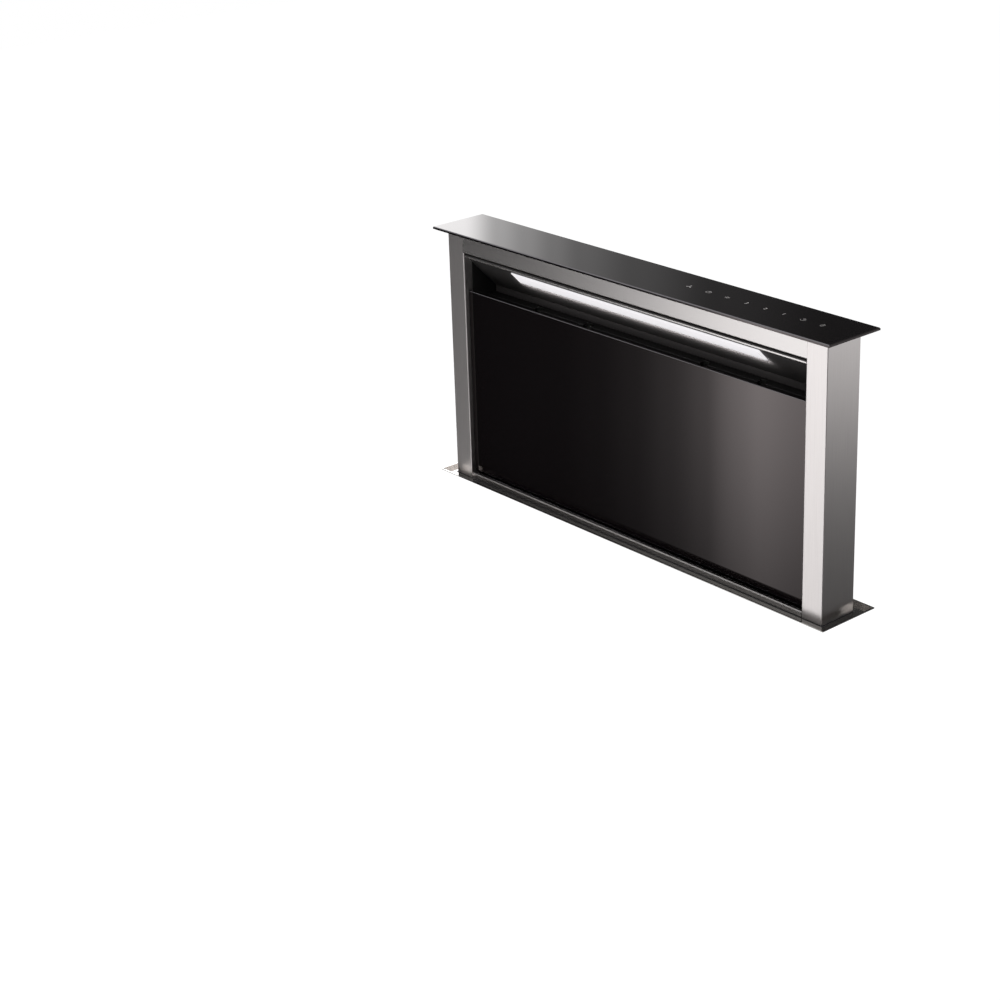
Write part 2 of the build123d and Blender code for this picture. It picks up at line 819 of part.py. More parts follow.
# ---------------------------------------------------------------------------------------------------------
# Lift: guide rails, two lead screws on one belt, and a worm-geared motor
# ---------------------------------------------------------------------------------------------------------
rail_outer = rail_inner_width / 2 + rail_wall
rail_tip = column_half + mouth_gap
with BuildPart() as right_rail:
    with BuildSketch(Plane.XY.offset(drive_plate_top)):
        with Locations(((rail_tip + inner_half) / 2, column_y)):
            Rectangle(inner_half - rail_tip, 2 * rail_outer)
        with Locations(((rail_tip + rail_base) / 2, column_y)):
            Rectangle(rail_base - rail_tip, rail_inner_width, mode=Mode.SUBTRACT)
    extrude(amount=guide_top - drive_plate_top)
    with BuildSketch(Plane.YZ.offset(inner_half)):
        with Locations((column_y, clamp_bolt_z)):
            Circle(clamp_bolt_radius + hole_clearance)
    extrude(amount=-rail_wall, mode=Mode.SUBTRACT)
finish("guide_rails", right_rail.part, mirrored(right_rail.part))

with BuildPart() as drive_plate:
    with BuildSketch(Plane.XY.offset(drive_plate_top)):
        with Locations((0, (inner_front + inner_back) / 2)):
            RectangleRounded(2 * inner_half, inner_back - inner_front - 2 * (sheet + hole_clearance), bend)
        with Locations((screw_x, column_y), (-screw_x, column_y)):
            Circle(journal_radius + 2, mode=Mode.SUBTRACT)
        with Locations((motor_x, motor_y)):
            Circle(motor_shaft_radius + 1.5, mode=Mode.SUBTRACT)
    extrude(amount=-drive_plate_thickness)
finish("drive_plate", drive_plate.part)

with BuildPart() as right_block:
    with BuildSketch(Plane.XY.offset(drive_plate_top)):
        with Locations((screw_x, column_y)):
            RectangleRounded(bearing_block_size, bearing_block_size, 4)
            Circle(journal_radius + screw_clearance, mode=Mode.SUBTRACT)
    extrude(amount=bearing_block_height)
    chamfer(right_block.faces().sort_by(Axis.Z)[-1].outer_wire().edges(), 2)
finish("bearing_blocks", right_block.part, mirrored(right_block.part))

with BuildPart() as right_screw:
    with BuildSketch(Plane.XY.offset(block_top + 0.3)):
        with Locations((screw_x, column_y)):
            Circle(screw_radius)
    extrude(amount=screw_top - block_top - 0.3)
    chamfer(right_screw.faces().sort_by(Axis.Z)[-1].edges(), 1.5)
    with BuildSketch(Plane.XY.offset(belt_z - pulley_half)):
        with Locations((screw_x, column_y)):
            Circle(journal_radius)
    extrude(amount=block_top + 0.3 - belt_z + pulley_half)
finish("right_screw", right_screw.part)
finish("left_screw", mirrored(right_screw.part))


def pulley(x, y, radius, bore=0, shaft_top=0):
    """Belt pulley with a rim above and below the belt, bored for a journal or with a shaft of its own."""
    with BuildPart() as part:
        with BuildSketch(Plane.XY.offset(belt_z - pulley_half)):
            with Locations((x, y)):
                Circle(radius + pulley_flange)
        extrude(amount=2 * pulley_half)
        with BuildSketch(Plane.XY.offset(belt_z - belt_width / 2)):
            with Locations((x, y)):
                Circle(radius + 2 * pulley_flange)
                Circle(radius, mode=Mode.SUBTRACT)
        extrude(amount=belt_width, mode=Mode.SUBTRACT)
        if bore:
            with BuildSketch(Plane.XY.offset(belt_z - pulley_half)):
                with Locations((x, y)):
                    Circle(bore)
            extrude(amount=2 * pulley_half, mode=Mode.SUBTRACT)
        if shaft_top:
            with BuildSketch(Plane.XY.offset(belt_z)):
                with Locations((x, y)):
                    Circle(motor_shaft_radius)
            extrude(amount=shaft_top - belt_z)
    return part.part


right_pulley = pulley(screw_x, column_y, pulley_radius, bore=journal_radius + 0.02)
finish("right_pulley", right_pulley)
finish("left_pulley", mirrored(right_pulley))
finish("motor_pulley", pulley(motor_x, motor_y, motor_pulley_radius, shaft_top=drive_plate_top + 20))


def belt_loop(extra):
    """Outline round the three pulleys, that far outside their faces."""
    with BuildSketch(Plane.XY.offset(belt_z - belt_width / 2 + belt_side_gap)) as sketch:
        with Locations((screw_x, column_y), (-screw_x, column_y)):
            Circle(pulley_radius + extra)
        with Locations((motor_x, motor_y)):
            Circle(motor_pulley_radius + extra)
        make_hull()
    return sketch.sketch


with BuildPart() as drive_belt:
    extrude(belt_loop(belt_gap + belt_thickness), amount=belt_width - 2 * belt_side_gap)
    extrude(belt_loop(belt_gap), amount=belt_width - 2 * belt_side_gap, mode=Mode.SUBTRACT)
finish("drive_belt", drive_belt.part)

with BuildPart() as lift_motor:
    with BuildSketch(Plane.XY.offset(drive_plate_top)):
        with Locations((motor_x, motor_y)):
            RectangleRounded(gearbox[0], gearbox[1], 5)
    extrude(amount=gearbox[2])
    chamfer(lift_motor.faces().sort_by(Axis.Z)[-1].edges(), 2)
    with BuildSketch(Plane.YZ.offset(motor_x - gearbox[0] / 2)):
        with Locations((motor_y, drive_plate_top + gearbox[2] / 2)):
            Circle(lift_motor_radius)
    extrude(amount=-lift_motor_length)
    with BuildSketch(Plane.XY.offset(drive_plate_top)):
        with Locations((motor_x, motor_y)):
            Circle(motor_shaft_radius + screw_clearance)
    extrude(amount=21, mode=Mode.SUBTRACT)
finish("lift_motor", lift_motor.part)

# ---------------------------------------------------------------------------------------------------------
# Blower box on the front of the housing
# ---------------------------------------------------------------------------------------------------------
cover_screws = [
    (x, blower_flange_mid + side * (blower_box_size[2] / 2 - flange_width / 2))
    for x in (-blower_half * 0.85, 0, blower_half * 0.85)
    for side in (-1, 1)
]

with BuildPart() as blower_box:
    with BuildSketch(facing_front(housing_front_y)):
        with Locations((0, blower_flange_mid)):
            Rectangle(2 * blower_flange_half, 2 * blower_flange_half_z)
    extrude(amount=sheet)
    with BuildSketch(facing_front(housing_front_y)):
        with Locations((0, blower_flange_mid)):
            Rectangle(blower_box_size[0], blower_box_size[2])
    extrude(amount=blower_box_size[1])
    with BuildSketch(facing_front(housing_front_y)):
        with Locations((0, blower_flange_mid)):
            Rectangle(blower_box_size[0] - 2 * sheet, blower_box_size[2] - 2 * sheet)
    extrude(amount=blower_box_size[1] - sheet, mode=Mode.SUBTRACT)
    with BuildSketch(facing_front(blower_front + sheet)):
        with Locations((0, blower_flange_mid)):
            Rectangle(blower_box_size[0] - 2 * flange_width, blower_box_size[2] - 2 * flange_width)
        with Locations(*cover_screws):
            Circle(hole_radius)
    extrude(amount=sheet, mode=Mode.SUBTRACT)
    with BuildSketch(facing_front(housing_front_y)):
        with Locations(*flange_screws):
            Circle(hole_radius)
    extrude(amount=sheet, mode=Mode.SUBTRACT)
    with BuildSketch(Plane.YZ.offset(blower_half)):
        with Locations((scroll_y, outlet_z)):
            Circle(spigot_radius - spigot_wall)
    extrude(amount=-2 * sheet, mode=Mode.SUBTRACT)
finish("blower_box", blower_box.part)

with BuildPart() as blower_cover:
    with BuildSketch(facing_front(blower_front)):
        with Locations((0, blower_flange_mid)):
            RectangleRounded(blower_box_size[0], blower_box_size[2], 3)
        with Locations(*cover_screws):
            Circle(hole_radius, mode=Mode.SUBTRACT)
    extrude(amount=thin_sheet)
finish("blower_cover", blower_cover.part)


def volute(inset, reach):
    """Outline of the scroll, drawn inset by a wall and with its outlet run out to reach, from the fan's axis."""
    right, up, left, down = [r - inset for r in scroll_radii]
    lip = tongue_radius - inset
    shelf = -outlet_top - inset
    lip_x = sqrt(lip**2 - shelf**2)

    def spot(radius, angle):
        return (fan_x + radius * cos(radians(angle)), fan_z + radius * sin(radians(angle)))

    start = (fan_x + lip_x, fan_z + shelf)
    with BuildSketch() as outline:
        with BuildLine():
            ThreePointArc(start, spot((lip + right) / 2, degrees(atan2(shelf, lip_x)) / 2), spot(right, 0))
            ThreePointArc(spot(right, 0), spot((right + up) / 2, 45), spot(up, 90))
            ThreePointArc(spot(up, 90), spot((up + left) / 2, 135), spot(left, 180))
            ThreePointArc(spot(left, 180), spot((left + down) / 2, 225), spot(down, 270))
            Polyline(spot(down, 270), (reach, fan_z - down), (reach, fan_z + shelf), start)
        make_face()
    add(outline.sketch)


with BuildPart() as scroll_housing:
    with BuildSketch(facing_front(scroll_back)):
        volute(0, blower_half - sheet)
    extrude(amount=scroll_width)
    with BuildSketch(facing_front(scroll_back - sheet)):
        volute(sheet, blower_half)
    extrude(amount=scroll_width - 2 * sheet, mode=Mode.SUBTRACT)
    with BuildSketch(facing_front(scroll_back)):
        with Locations((fan_x, fan_z)):
            Circle(throat_radius + sheet + throat_gap)
    extrude(amount=sheet, mode=Mode.SUBTRACT)
    with BuildSketch(facing_front(scroll_front + sheet)):
        with Locations((fan_x, fan_z)):
            Circle(fan_motor_radius + throat_gap)
    extrude(amount=sheet, mode=Mode.SUBTRACT)
finish("scroll_housing", scroll_housing.part)

# Bell mouth from the housing into the fan's eye
with BuildPart() as inlet_ring:
    with BuildSketch(Plane.XY):
        with BuildLine():
            Polyline(
                (throat_radius + sheet, -scroll_gap - sheet - 4),
                (throat_radius, -scroll_gap - sheet - 4),
                (throat_radius, -scroll_gap),
                (inlet_radius - 4, 0),
                (inlet_radius + 10, 0),
                (inlet_radius + 10, -sheet),
                (inlet_radius - 4 + sheet, -sheet),
                (throat_radius + sheet, -scroll_gap),
                close=True,
            )
        make_face()
    revolve(axis=Axis.Y)
    inlet_solid = inlet_ring.part
finish("inlet_ring", inlet_solid.moved(Location((fan_x, housing_front_y, fan_z))))

with BuildPart() as impeller:
    with BuildSketch(facing_front(fan_back)):
        with Locations((fan_x, fan_z)):
            Circle(fan_radius)
            Circle(fan_eye_radius, mode=Mode.SUBTRACT)
    extrude(amount=2)
    with BuildSketch(facing_front(fan_front + 2)):
        with Locations((fan_x, fan_z)):
            Circle(fan_radius)
    extrude(amount=2)
    with BuildSketch(facing_front(fan_front + hub_length)):
        with Locations((fan_x, fan_z)):
            Circle(hub_radius)
    extrude(amount=hub_length)
    with BuildSketch(facing_front(fan_back - 1)):
        with Locations((fan_x, fan_z)):
            with PolarLocations((fan_radius + fan_eye_radius) / 2, blade_count):
                with Locations(Location((0, 0, 0), (0, 0, 1), 35)):
                    Rectangle(fan_radius - fan_eye_radius - 0.5, blade_thickness)
    extrude(amount=fan_width - 2)
    with BuildSketch(facing_front(fan_back)):
        with Locations((fan_x, fan_z)):
            Circle(fan_shaft_radius + 0.02)
    extrude(amount=fan_width + 2, mode=Mode.SUBTRACT)
finish("impeller", impeller.part)

fan_motor_back = scroll_front + fan_motor_inside
with BuildPart() as fan_shaft:
    with BuildSketch(facing_front(fan_front + hub_length)):
        with Locations((fan_x, fan_z)):
            Circle(fan_shaft_radius)
    extrude(amount=fan_front + hub_length - fan_motor_back + 30)
    chamfer(fan_shaft.faces().sort_by(Axis.Y)[-1].edges(), 0.5)
finish("fan_shaft", fan_shaft.part)

with BuildPart() as fan_motor:
    with BuildSketch(facing_front(fan_motor_back)):
        with Locations((fan_x, fan_z)):
            Circle(fan_motor_radius)
    extrude(amount=fan_motor_length)
    fillet(fan_motor.faces().sort_by(Axis.Y)[0].edges(), 4)
    with BuildSketch(facing_front(scroll_front)):
        with Locations((fan_x, fan_z)):
            Circle(fan_motor_flange_radius)
    extrude(amount=fan_motor_flange)
    with BuildSketch(facing_front(fan_motor_back)):
        with Locations((fan_x, fan_z)):
            Circle(fan_shaft_radius + screw_clearance)
    extrude(amount=31, mode=Mode.SUBTRACT)
finish("fan_motor", fan_motor.part)

# ---------------------------------------------------------------------------------------------------------
# Outlet spigot with a pair of sprung damper flaps
# ---------------------------------------------------------------------------------------------------------
with BuildPart() as duct_spigot:
    with BuildSketch(Plane.YZ.offset(blower_half)):
        with Locations((scroll_y, outlet_z)):
            RectangleRounded(spigot_plate, spigot_plate, 6)
            Circle(spigot_radius - spigot_wall, mode=Mode.SUBTRACT)
    extrude(amount=sheet)
    with BuildSketch(Plane.YZ.offset(blower_half + sheet)):
        with Locations((scroll_y, outlet_z)):
            Circle(spigot_radius)
            Circle(spigot_radius - spigot_wall, mode=Mode.SUBTRACT)
    extrude(amount=spigot_length)
    with BuildSketch(Plane.XY.offset(outlet_z - spigot_radius)):
        with Locations((damper_x, scroll_y)):
            Circle(damper_pin_radius + screw_clearance)
    extrude(amount=2 * spigot_radius, mode=Mode.SUBTRACT)
finish("duct_spigot", duct_spigot.part)

flap_radius = spigot_radius - spigot_wall - damper_gap
knuckle_radius = damper_pin_radius + 1.5


def damper_flap(side):
    """Half disc on its own trunnion; side is -1 for the flap towards the front and 1 for the other."""
    with BuildPart() as part:
        with BuildSketch(Plane.YZ.offset(damper_x - damper_thickness / 2)):
            with Locations((scroll_y, outlet_z)):
                Circle(flap_radius)
                with Locations((-side * flap_radius, 0)):
                    Rectangle(2 * flap_radius + 2 * (knuckle_radius + damper_gap), 2 * flap_radius, mode=Mode.SUBTRACT)
        extrude(amount=damper_thickness)
        # arm from the flap to its knuckle on this flap's half of the pin
        low = outlet_z + (1 if side < 0 else -45)
        with BuildSketch(Plane.XY.offset(low)):
            with Locations((damper_x, scroll_y)):
                Circle(knuckle_radius)
                with Locations((0, side * (knuckle_radius + damper_gap + 2) / 2)):
                    Rectangle(damper_thickness, knuckle_radius + damper_gap + 2)
        extrude(amount=44)
        end = outlet_z + spigot_radius - 0.5 if side < 0 else outlet_z - spigot_radius + 0.5
        with BuildSketch(Plane.XY.offset(outlet_z - side * 1)):
            with Locations((damper_x, scroll_y)):
                Circle(damper_pin_radius)
        extrude(amount=end - outlet_z + side * 1)
    return part


finish("damper_flap_front", damper_flap(-1).part)
finish("damper_flap_back", damper_flap(1).part)

# ---------------------------------------------------------------------------------------------------------
# Control box with the mains inlet
# ---------------------------------------------------------------------------------------------------------
control_mid = control_z + control_size[2] / 2
gland_y = housing_front_y - control_size[1] / 2
with BuildPart() as control_box:
    with BuildSketch(facing_front(housing_front_y)):
        with Locations((control_x, control_mid)):
            Rectangle(control_size[0] + 2 * flange_width, control_size[2])
        with Locations(*control_screws):
            Circle(hole_radius, mode=Mode.SUBTRACT)
    extrude(amount=control_wall)
    with BuildSketch(facing_front(housing_front_y)):
        with Locations((control_x, control_mid)):
            Rectangle(control_size[0], control_size[2])
    extrude(amount=control_size[1])
    with BuildSketch(facing_front(housing_front_y - control_wall)):
        with Locations((control_x, control_mid)):
            Rectangle(control_size[0] - 2 * control_wall, control_size[2] - 2 * control_wall)
    extrude(amount=control_size[1], mode=Mode.SUBTRACT)
    with BuildSketch(facing_front(housing_front_y - control_wall)):
        with Locations((control_x, control_mid)):
            with GridLocations(board_width - 20, board_height - 20, 2, 2):
                Circle(4)
    extrude(amount=board_stand_off)
    with BuildSketch(Plane.XY.offset(control_z)):
        with Locations((gland_x, gland_y)):
            Circle(gland_radius - 3 + hole_clearance)
    extrude(amount=2 * control_wall, mode=Mode.SUBTRACT)
finish("control_box", control_box.part)

with BuildPart() as control_cover:
    with BuildSketch(facing_front(housing_front_y - control_size[1])):
        with Locations((control_x, control_mid)):
            RectangleRounded(control_size[0], control_size[2], 3)
    extrude(amount=control_wall)
    fillet(control_cover.faces().sort_by(Axis.Y)[0].edges(), 0.8)
finish("control_cover", control_cover.part)

board_y = housing_front_y - control_wall - board_stand_off
with BuildPart() as control_board:
    with BuildSketch(facing_front(board_y)):
        with Locations((control_x, control_mid)):
            Rectangle(board_width, board_height)
    extrude(amount=board_thickness)
    with BuildSketch(facing_front(board_y - board_thickness)):
        with Locations((control_x - 0.3 * board_width, control_mid + 0.22 * board_height)):
            Circle(capacitor[0])
    extrude(amount=capacitor[1])
    with BuildSketch(facing_front(board_y - board_thickness)):
        with Locations((control_x + 0.2 * board_width, control_mid + 0.18 * board_height)):
            Rectangle(transformer[0], transformer[1])
    extrude(amount=transformer[2])
    with BuildSketch(facing_front(board_y - board_thickness)):
        with Locations((control_x - 0.13 * board_width, control_mid - 0.35 * board_height)):
            Rectangle(terminal_strip[0], terminal_strip[1])
    extrude(amount=terminal_strip[2])
finish("control_board", control_board.part)

with BuildPart() as cable_gland:
    with BuildSketch(Plane.XY.offset(control_z)):
        with Locations((gland_x, gland_y)):
            RegularPolygon(gland_radius, 6)
    extrude(amount=-gland_length + 8)
    chamfer(cable_gland.faces().sort_by(Axis.Z)[0].edges(), 1.5)
    with BuildSketch(Plane.XY.offset(control_z)):
        with Locations((gland_x, gland_y)):
            Circle(gland_radius - 3)
    extrude(amount=8)
    with BuildSketch(Plane.XY.offset(control_z + 8)):
        with Locations((gland_x, gland_y)):
            Circle(gland_bore)
    extrude(amount=-gland_length, mode=Mode.SUBTRACT)
finish("cable_gland", cable_gland.part)

# ---------------------------------------------------------------------------------------------------------
# Feet, worktop clamps and fasteners
# ---------------------------------------------------------------------------------------------------------
foot_front = housing_front_y - foot_reach
foot_pads = [foot_front + foot_pad_inset, inner_back - foot_pad_inset]
with BuildPart() as right_bracket:
    with BuildSketch(Plane.XZ.offset(-foot_front)):
        folded_sheet(
            [
                (foot_x - foot_width / 2, foot_height - foot_leg),
                (foot_x - foot_width / 2, foot_height),
                (foot_x + foot_width / 2, foot_height),
                (foot_x + foot_width / 2, foot_height - foot_leg),
            ],
            foot_sheet,
            Side.RIGHT,
        )
    extrude(amount=-(inner_back - foot_front))
    with BuildSketch(Plane.XY.offset(foot_height - foot_sheet)):
        with Locations(*[(foot_x, y) for y in foot_pads]):
            Circle(foot_boss_radius)
    extrude(amount=-foot_boss_height)
    with BuildSketch(Plane.XY.offset(foot_height - foot_sheet)):
        with Locations(*[(foot_x, y) for y in foot_pads]):
            Circle(foot_stud_radius + screw_clearance)
    extrude(amount=-foot_boss_height, mode=Mode.SUBTRACT)
finish("foot_brackets", right_bracket.part, mirrored(right_bracket.part))

feet = []
for pad_y in foot_pads:
    with BuildPart() as foot:
        with BuildSketch(Plane.XY):
            with Locations((foot_x, pad_y)):
                Circle(foot_pad_radius)
        extrude(amount=foot_pad_height)
        fillet(foot.faces().sort_by(Axis.Z)[-1].edges(), 3)
        with BuildSketch(Plane.XY.offset(foot_pad_height)):
            with Locations((foot_x, pad_y)):
                Circle(foot_stud_radius)
        extrude(amount=foot_height - foot_sheet - foot_pad_height - 0.5)
        with BuildSketch(Plane.XY.offset(foot_height - foot_sheet - foot_boss_height - 6)):
            with Locations((foot_x, pad_y)):
                RegularPolygon(foot_boss_radius, 6)
        extrude(amount=6)
    feet += [foot.part, mirrored(foot.part)]
finish("levelling_feet", *feet)

with BuildPart() as clamp_right:
    with BuildSketch(Plane.XZ.offset(-(column_y - clamp_width / 2))):
        folded_sheet(
            [
                (housing_half, clamp_z - clamp_drop),
                (housing_half, clamp_z),
                (housing_half + clamp_sheet + clamp_reach, clamp_z),
            ],
            clamp_sheet,
            Side.RIGHT,
        )
    extrude(amount=-clamp_width)
    with BuildSketch(Plane.YZ.offset(housing_half)):
        with Locations((column_y, clamp_bolt_z)):
            SlotCenterToCenter(
                2 * clamp_travel + 2 * clamp_slot_clearance,
                2 * (clamp_bolt_radius + clamp_slot_clearance),
                rotation=90,
            )
    extrude(amount=clamp_sheet, mode=Mode.SUBTRACT)
finish("clamp_right", clamp_right.part)
finish("clamp_left", mirrored(clamp_right.part))


def screw(x, y, z, inward):
    """Pan-head screw whose head rests on a face at y; inward is 1 if it points to the back and -1 if to the front."""
    with BuildPart() as part:
        with BuildSketch(facing_front(y)):
            with Locations((x, z)):
                Circle(screw_head_radius)
        extrude(amount=inward * screw_head_height)
        fillet(part.faces().sort_by(Axis.Y)[0 if inward > 0 else -1].edges(), 1)
        with BuildSketch(facing_front(y)):
            with Locations((x, z)):
                Circle(screw_shank_radius)
        extrude(amount=-inward * screw_length)
    return part.part


def clamp_bolt():
    """Hexagon bolt with its washer, through the clamp's slot into the housing's side."""
    seat = housing_half + clamp_sheet
    with BuildPart() as part:
        with BuildSketch(Plane.YZ.offset(seat + hole_clearance)):
            with Locations((column_y, clamp_bolt_z)):
                Circle(2.6 * clamp_bolt_radius)
        extrude(amount=1.6)
        with BuildSketch(Plane.YZ.offset(seat + hole_clearance + 1.6)):
            with Locations((column_y, clamp_bolt_z)):
                RegularPolygon(1.9 * clamp_bolt_radius, 6)
        extrude(amount=4)
        with BuildSketch(Plane.YZ.offset(seat + hole_clearance)):
            with Locations((column_y, clamp_bolt_z)):
                Circle(clamp_bolt_radius)
        extrude(amount=-(clamp_sheet + sheet + rail_wall - 0.5))
    return part.part


fasteners = [screw(x, housing_front_y - sheet, z, 1) for x, z in flange_screws]
fasteners += [screw(x, housing_front_y - control_wall, z, 1) for x, z in control_screws]
fasteners += [screw(x, housing_front_y, z, 1) for x, z in seam_screws]
fasteners += [screw(x, housing_back_y, z, -1) for x, z in seam_screws]
fasteners += [screw(x, blower_front - thin_sheet, z, 1) for x, z in cover_screws]
fasteners += [clamp_bolt(), mirrored(clamp_bolt())]
finish("fasteners", *fasteners)
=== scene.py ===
"""Looks of the downdraft vent: the rising column, and its housing, lift, blower and controls below the worktop."""
from math import cos, pi, radians, sin

import bpy
import bmesh
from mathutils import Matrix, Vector


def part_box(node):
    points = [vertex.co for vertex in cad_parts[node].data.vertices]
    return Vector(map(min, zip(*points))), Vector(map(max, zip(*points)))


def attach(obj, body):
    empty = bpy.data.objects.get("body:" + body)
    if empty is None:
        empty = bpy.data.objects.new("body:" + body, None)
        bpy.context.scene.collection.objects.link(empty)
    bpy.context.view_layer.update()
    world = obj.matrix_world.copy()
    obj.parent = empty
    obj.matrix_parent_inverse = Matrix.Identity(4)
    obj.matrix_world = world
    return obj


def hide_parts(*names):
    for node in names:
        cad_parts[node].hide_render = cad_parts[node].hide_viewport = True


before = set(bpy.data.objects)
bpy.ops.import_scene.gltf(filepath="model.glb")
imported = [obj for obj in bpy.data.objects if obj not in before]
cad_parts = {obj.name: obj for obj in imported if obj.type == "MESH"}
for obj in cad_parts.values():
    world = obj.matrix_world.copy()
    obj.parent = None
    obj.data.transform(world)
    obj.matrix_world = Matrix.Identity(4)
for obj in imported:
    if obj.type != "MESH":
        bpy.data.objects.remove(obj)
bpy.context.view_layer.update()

# Camera: stands high to the right in front of the vent, turned a little about its own axis, and shifted so that
# the raised column fills the frame.
camera_data = bpy.data.cameras.new("photograph_view")
camera_data.lens = 76.859
camera_data.sensor_width = 36.0
camera_data.shift_y = -0.10
camera = bpy.data.objects.new("photograph_view", camera_data)
camera.location = (2.29847, -2.1057, 2.11637)
camera.rotation_euler = (radians(69.6095), radians(1.7998), radians(49.5911))
bpy.context.scene.collection.objects.link(camera)
bpy.context.scene.camera = camera
bpy.context.scene.view_settings.view_transform = "Standard"


def linear(code):
    """Colour for a shader from its sRGB hex code."""
    channels = [int(code[i:i + 2], 16) / 255 for i in (0, 2, 4)]
    return [c / 12.92 if c <= 0.04045 else ((c + 0.055) / 1.055) ** 2.4 for c in channels] + [1.0]


def put(tree, kind, sockets, **settings):
    """Adds one node: settings are its own options, and each socket takes a value or a link."""
    node = tree.nodes.new("ShaderNode" + kind)
    for name, value in settings.items():
        setattr(node, name, value)
    for key, value in sockets.items():
        if isinstance(value, bpy.types.NodeSocket):
            tree.links.new(value, node.inputs[key])
        else:
            node.inputs[key].default_value = value
    return node


# Studio: an even white room for soft light. Glass and metal mirror it with a bright screen far to the left behind
# and a bright wall to the front right, which fade into a dark room, darkest at its foot.
world = bpy.data.worlds.new("studio")
world.use_nodes = True
world.cycles.sampling_method = "NONE"
bpy.context.scene.world = world
room = world.node_tree
room.nodes.clear()
path = put(room, "LightPath", {})
way = put(room, "TexCoord", {})
axis = put(room, "SeparateXYZ", {"Vector": way.outputs["Generated"]})
# how far a direction lies to the left of the diagonals to the back left and to the front left
left_of_back = put(room, "Math", {0: axis.outputs["X"], 1: axis.outputs["Y"]}, operation="ADD")
left_of_front = put(room, "Math", {0: axis.outputs["Y"], 1: axis.outputs["X"]}, operation="SUBTRACT")
# each fade: what it follows, where it starts and ends, its full brightness, and its grey at shares of the way
fades = []
for lean, low, high, full, stops in (
    (left_of_back.outputs[0], 0.10, -0.20, 4.1,
     ((0.0, 0.01), (0.26, 0.026), (0.44, 0.07), (0.56, 0.12), (0.62, 0.175), (0.68, 0.26), (0.74, 0.37),
      (0.82, 0.85), (1.0, 1.0))),
    (left_of_front.outputs[0], -1.36, 0.64, 5.0,
     ((0.0, 0.03), (0.1, 0.06), (0.3, 0.26), (0.42, 0.4), (0.6, 0.4), (0.64, 0.52), (0.655, 0.66), (0.664, 0.47),
      (0.673, 0.2), (0.684, 0.095), (0.696, 0.04), (0.708, 0.018), (0.722, 0.009), (0.755, 0.005), (0.79, 0.018),
      (0.85, 0.09), (0.92, 0.11), (1.0, 0.12))),
    (axis.outputs["Z"], -0.48, -0.28, 1.0,
     ((0.0, 0.04), (0.2, 0.05), (0.4, 0.085), (0.53, 0.19), (0.62, 0.36), (0.73, 0.72), (1.0, 1.0))),
):
    share = put(room, "MapRange", {"Value": lean, "From Min": low, "From Max": high})
    fade = put(room, "ValToRGB", {"Fac": share.outputs[0]})
    fade.color_ramp.interpolation = "EASE"
    while len(fade.color_ramp.elements) < len(stops):
        fade.color_ramp.elements.new(1.0)
    for stop, (spot, grey) in zip(fade.color_ramp.elements, stops):
        stop.position = spot
        stop.color = (grey, grey, grey, 1.0)
    fades.append(put(room, "Math", {0: fade.outputs["Color"], 1: full}, operation="MULTIPLY"))
screen, wall, back_foot = fades
dark_floor = put(room, "MapRange", {"Value": axis.outputs["Z"], "From Min": -0.46, "From Max": -0.33,
                                    "To Min": 0.25, "To Max": 1.0}, interpolation_type="SMOOTHSTEP")
above = put(room, "MapRange", {"Value": axis.outputs["Z"], "From Min": 0.5, "From Max": 0.8,
                               "To Min": 0.0, "To Max": 1.0}, interpolation_type="SMOOTHSTEP")
below = put(room, "MapRange", {"Value": axis.outputs["Z"], "From Min": -0.05, "From Max": 0.1,
                               "To Min": 1.0, "To Max": 0.0}, interpolation_type="SMOOTHSTEP")
behind = put(room, "MapRange", {"Value": axis.outputs["Y"], "From Min": -0.1, "From Max": 0.1,
                                "To Min": 0.0, "To Max": 1.0}, interpolation_type="SMOOTHSTEP")
dim_wall = put(room, "Math", {0: wall.outputs[0], 1: 0.12}, operation="MULTIPLY")
upper = put(room, "Mix", {"Factor": behind.outputs[0], "A": dim_wall.outputs[0], "B": screen.outputs[0]})
upper = put(room, "Mix", {"Factor": above.outputs[0], "A": upper.outputs[0], "B": 1.1})
wall_foot = put(room, "Math", {0: wall.outputs[0], 1: dark_floor.outputs[0]}, operation="MULTIPLY")
lower = put(room, "Mix", {"Factor": behind.outputs[0], "A": wall_foot.outputs[0], "B": back_foot.outputs[0]})
mirrored_room = put(room, "Mix", {"Factor": below.outputs[0], "A": upper.outputs[0], "B": lower.outputs[0]})
strength = put(room, "Mix", {"Factor": path.outputs["Is Glossy Ray"], "A": 0.8, "B": mirrored_room.outputs[0]})
strength = put(room, "Mix", {"Factor": path.outputs["Is Camera Ray"], "A": strength.outputs[0], "B": 1.0})
glow = put(room, "Background", {"Color": (1.0, 1.0, 1.0, 1.0), "Strength": strength.outputs[0]})
put(room, "OutputWorld", {"Surface": glow.outputs[0]})

# Soft box above the front right, and a smaller one for the left, both large enough for soft shadows.
for name, place, target, size, watts in (
    ("soft_box_right", (1.6, -1.7, 3.1), (0.0, 0.0, 0.9), 1.8, 55.0),
    ("soft_box_left", (-2.4, -0.8, 2.6), (0.0, 0.0, 0.8), 1.6, 22.0),
):
    lamp_data = bpy.data.lights.new(name, "AREA")
    lamp_data.energy = watts
    lamp_data.size = size
    soft_box = bpy.data.objects.new(name, lamp_data)
    soft_box.location = place
    soft_box.rotation_euler = (Vector(target) - Vector(place)).to_track_quat("-Z", "Y").to_euler()
    soft_box.visible_glossy = False
    bpy.context.scene.collection.objects.link(soft_box)


def begin(name):
    """Material with an empty tree."""
    material = bpy.data.materials.new(name)
    material.use_nodes = True
    material.node_tree.nodes.clear()
    return material, material.node_tree


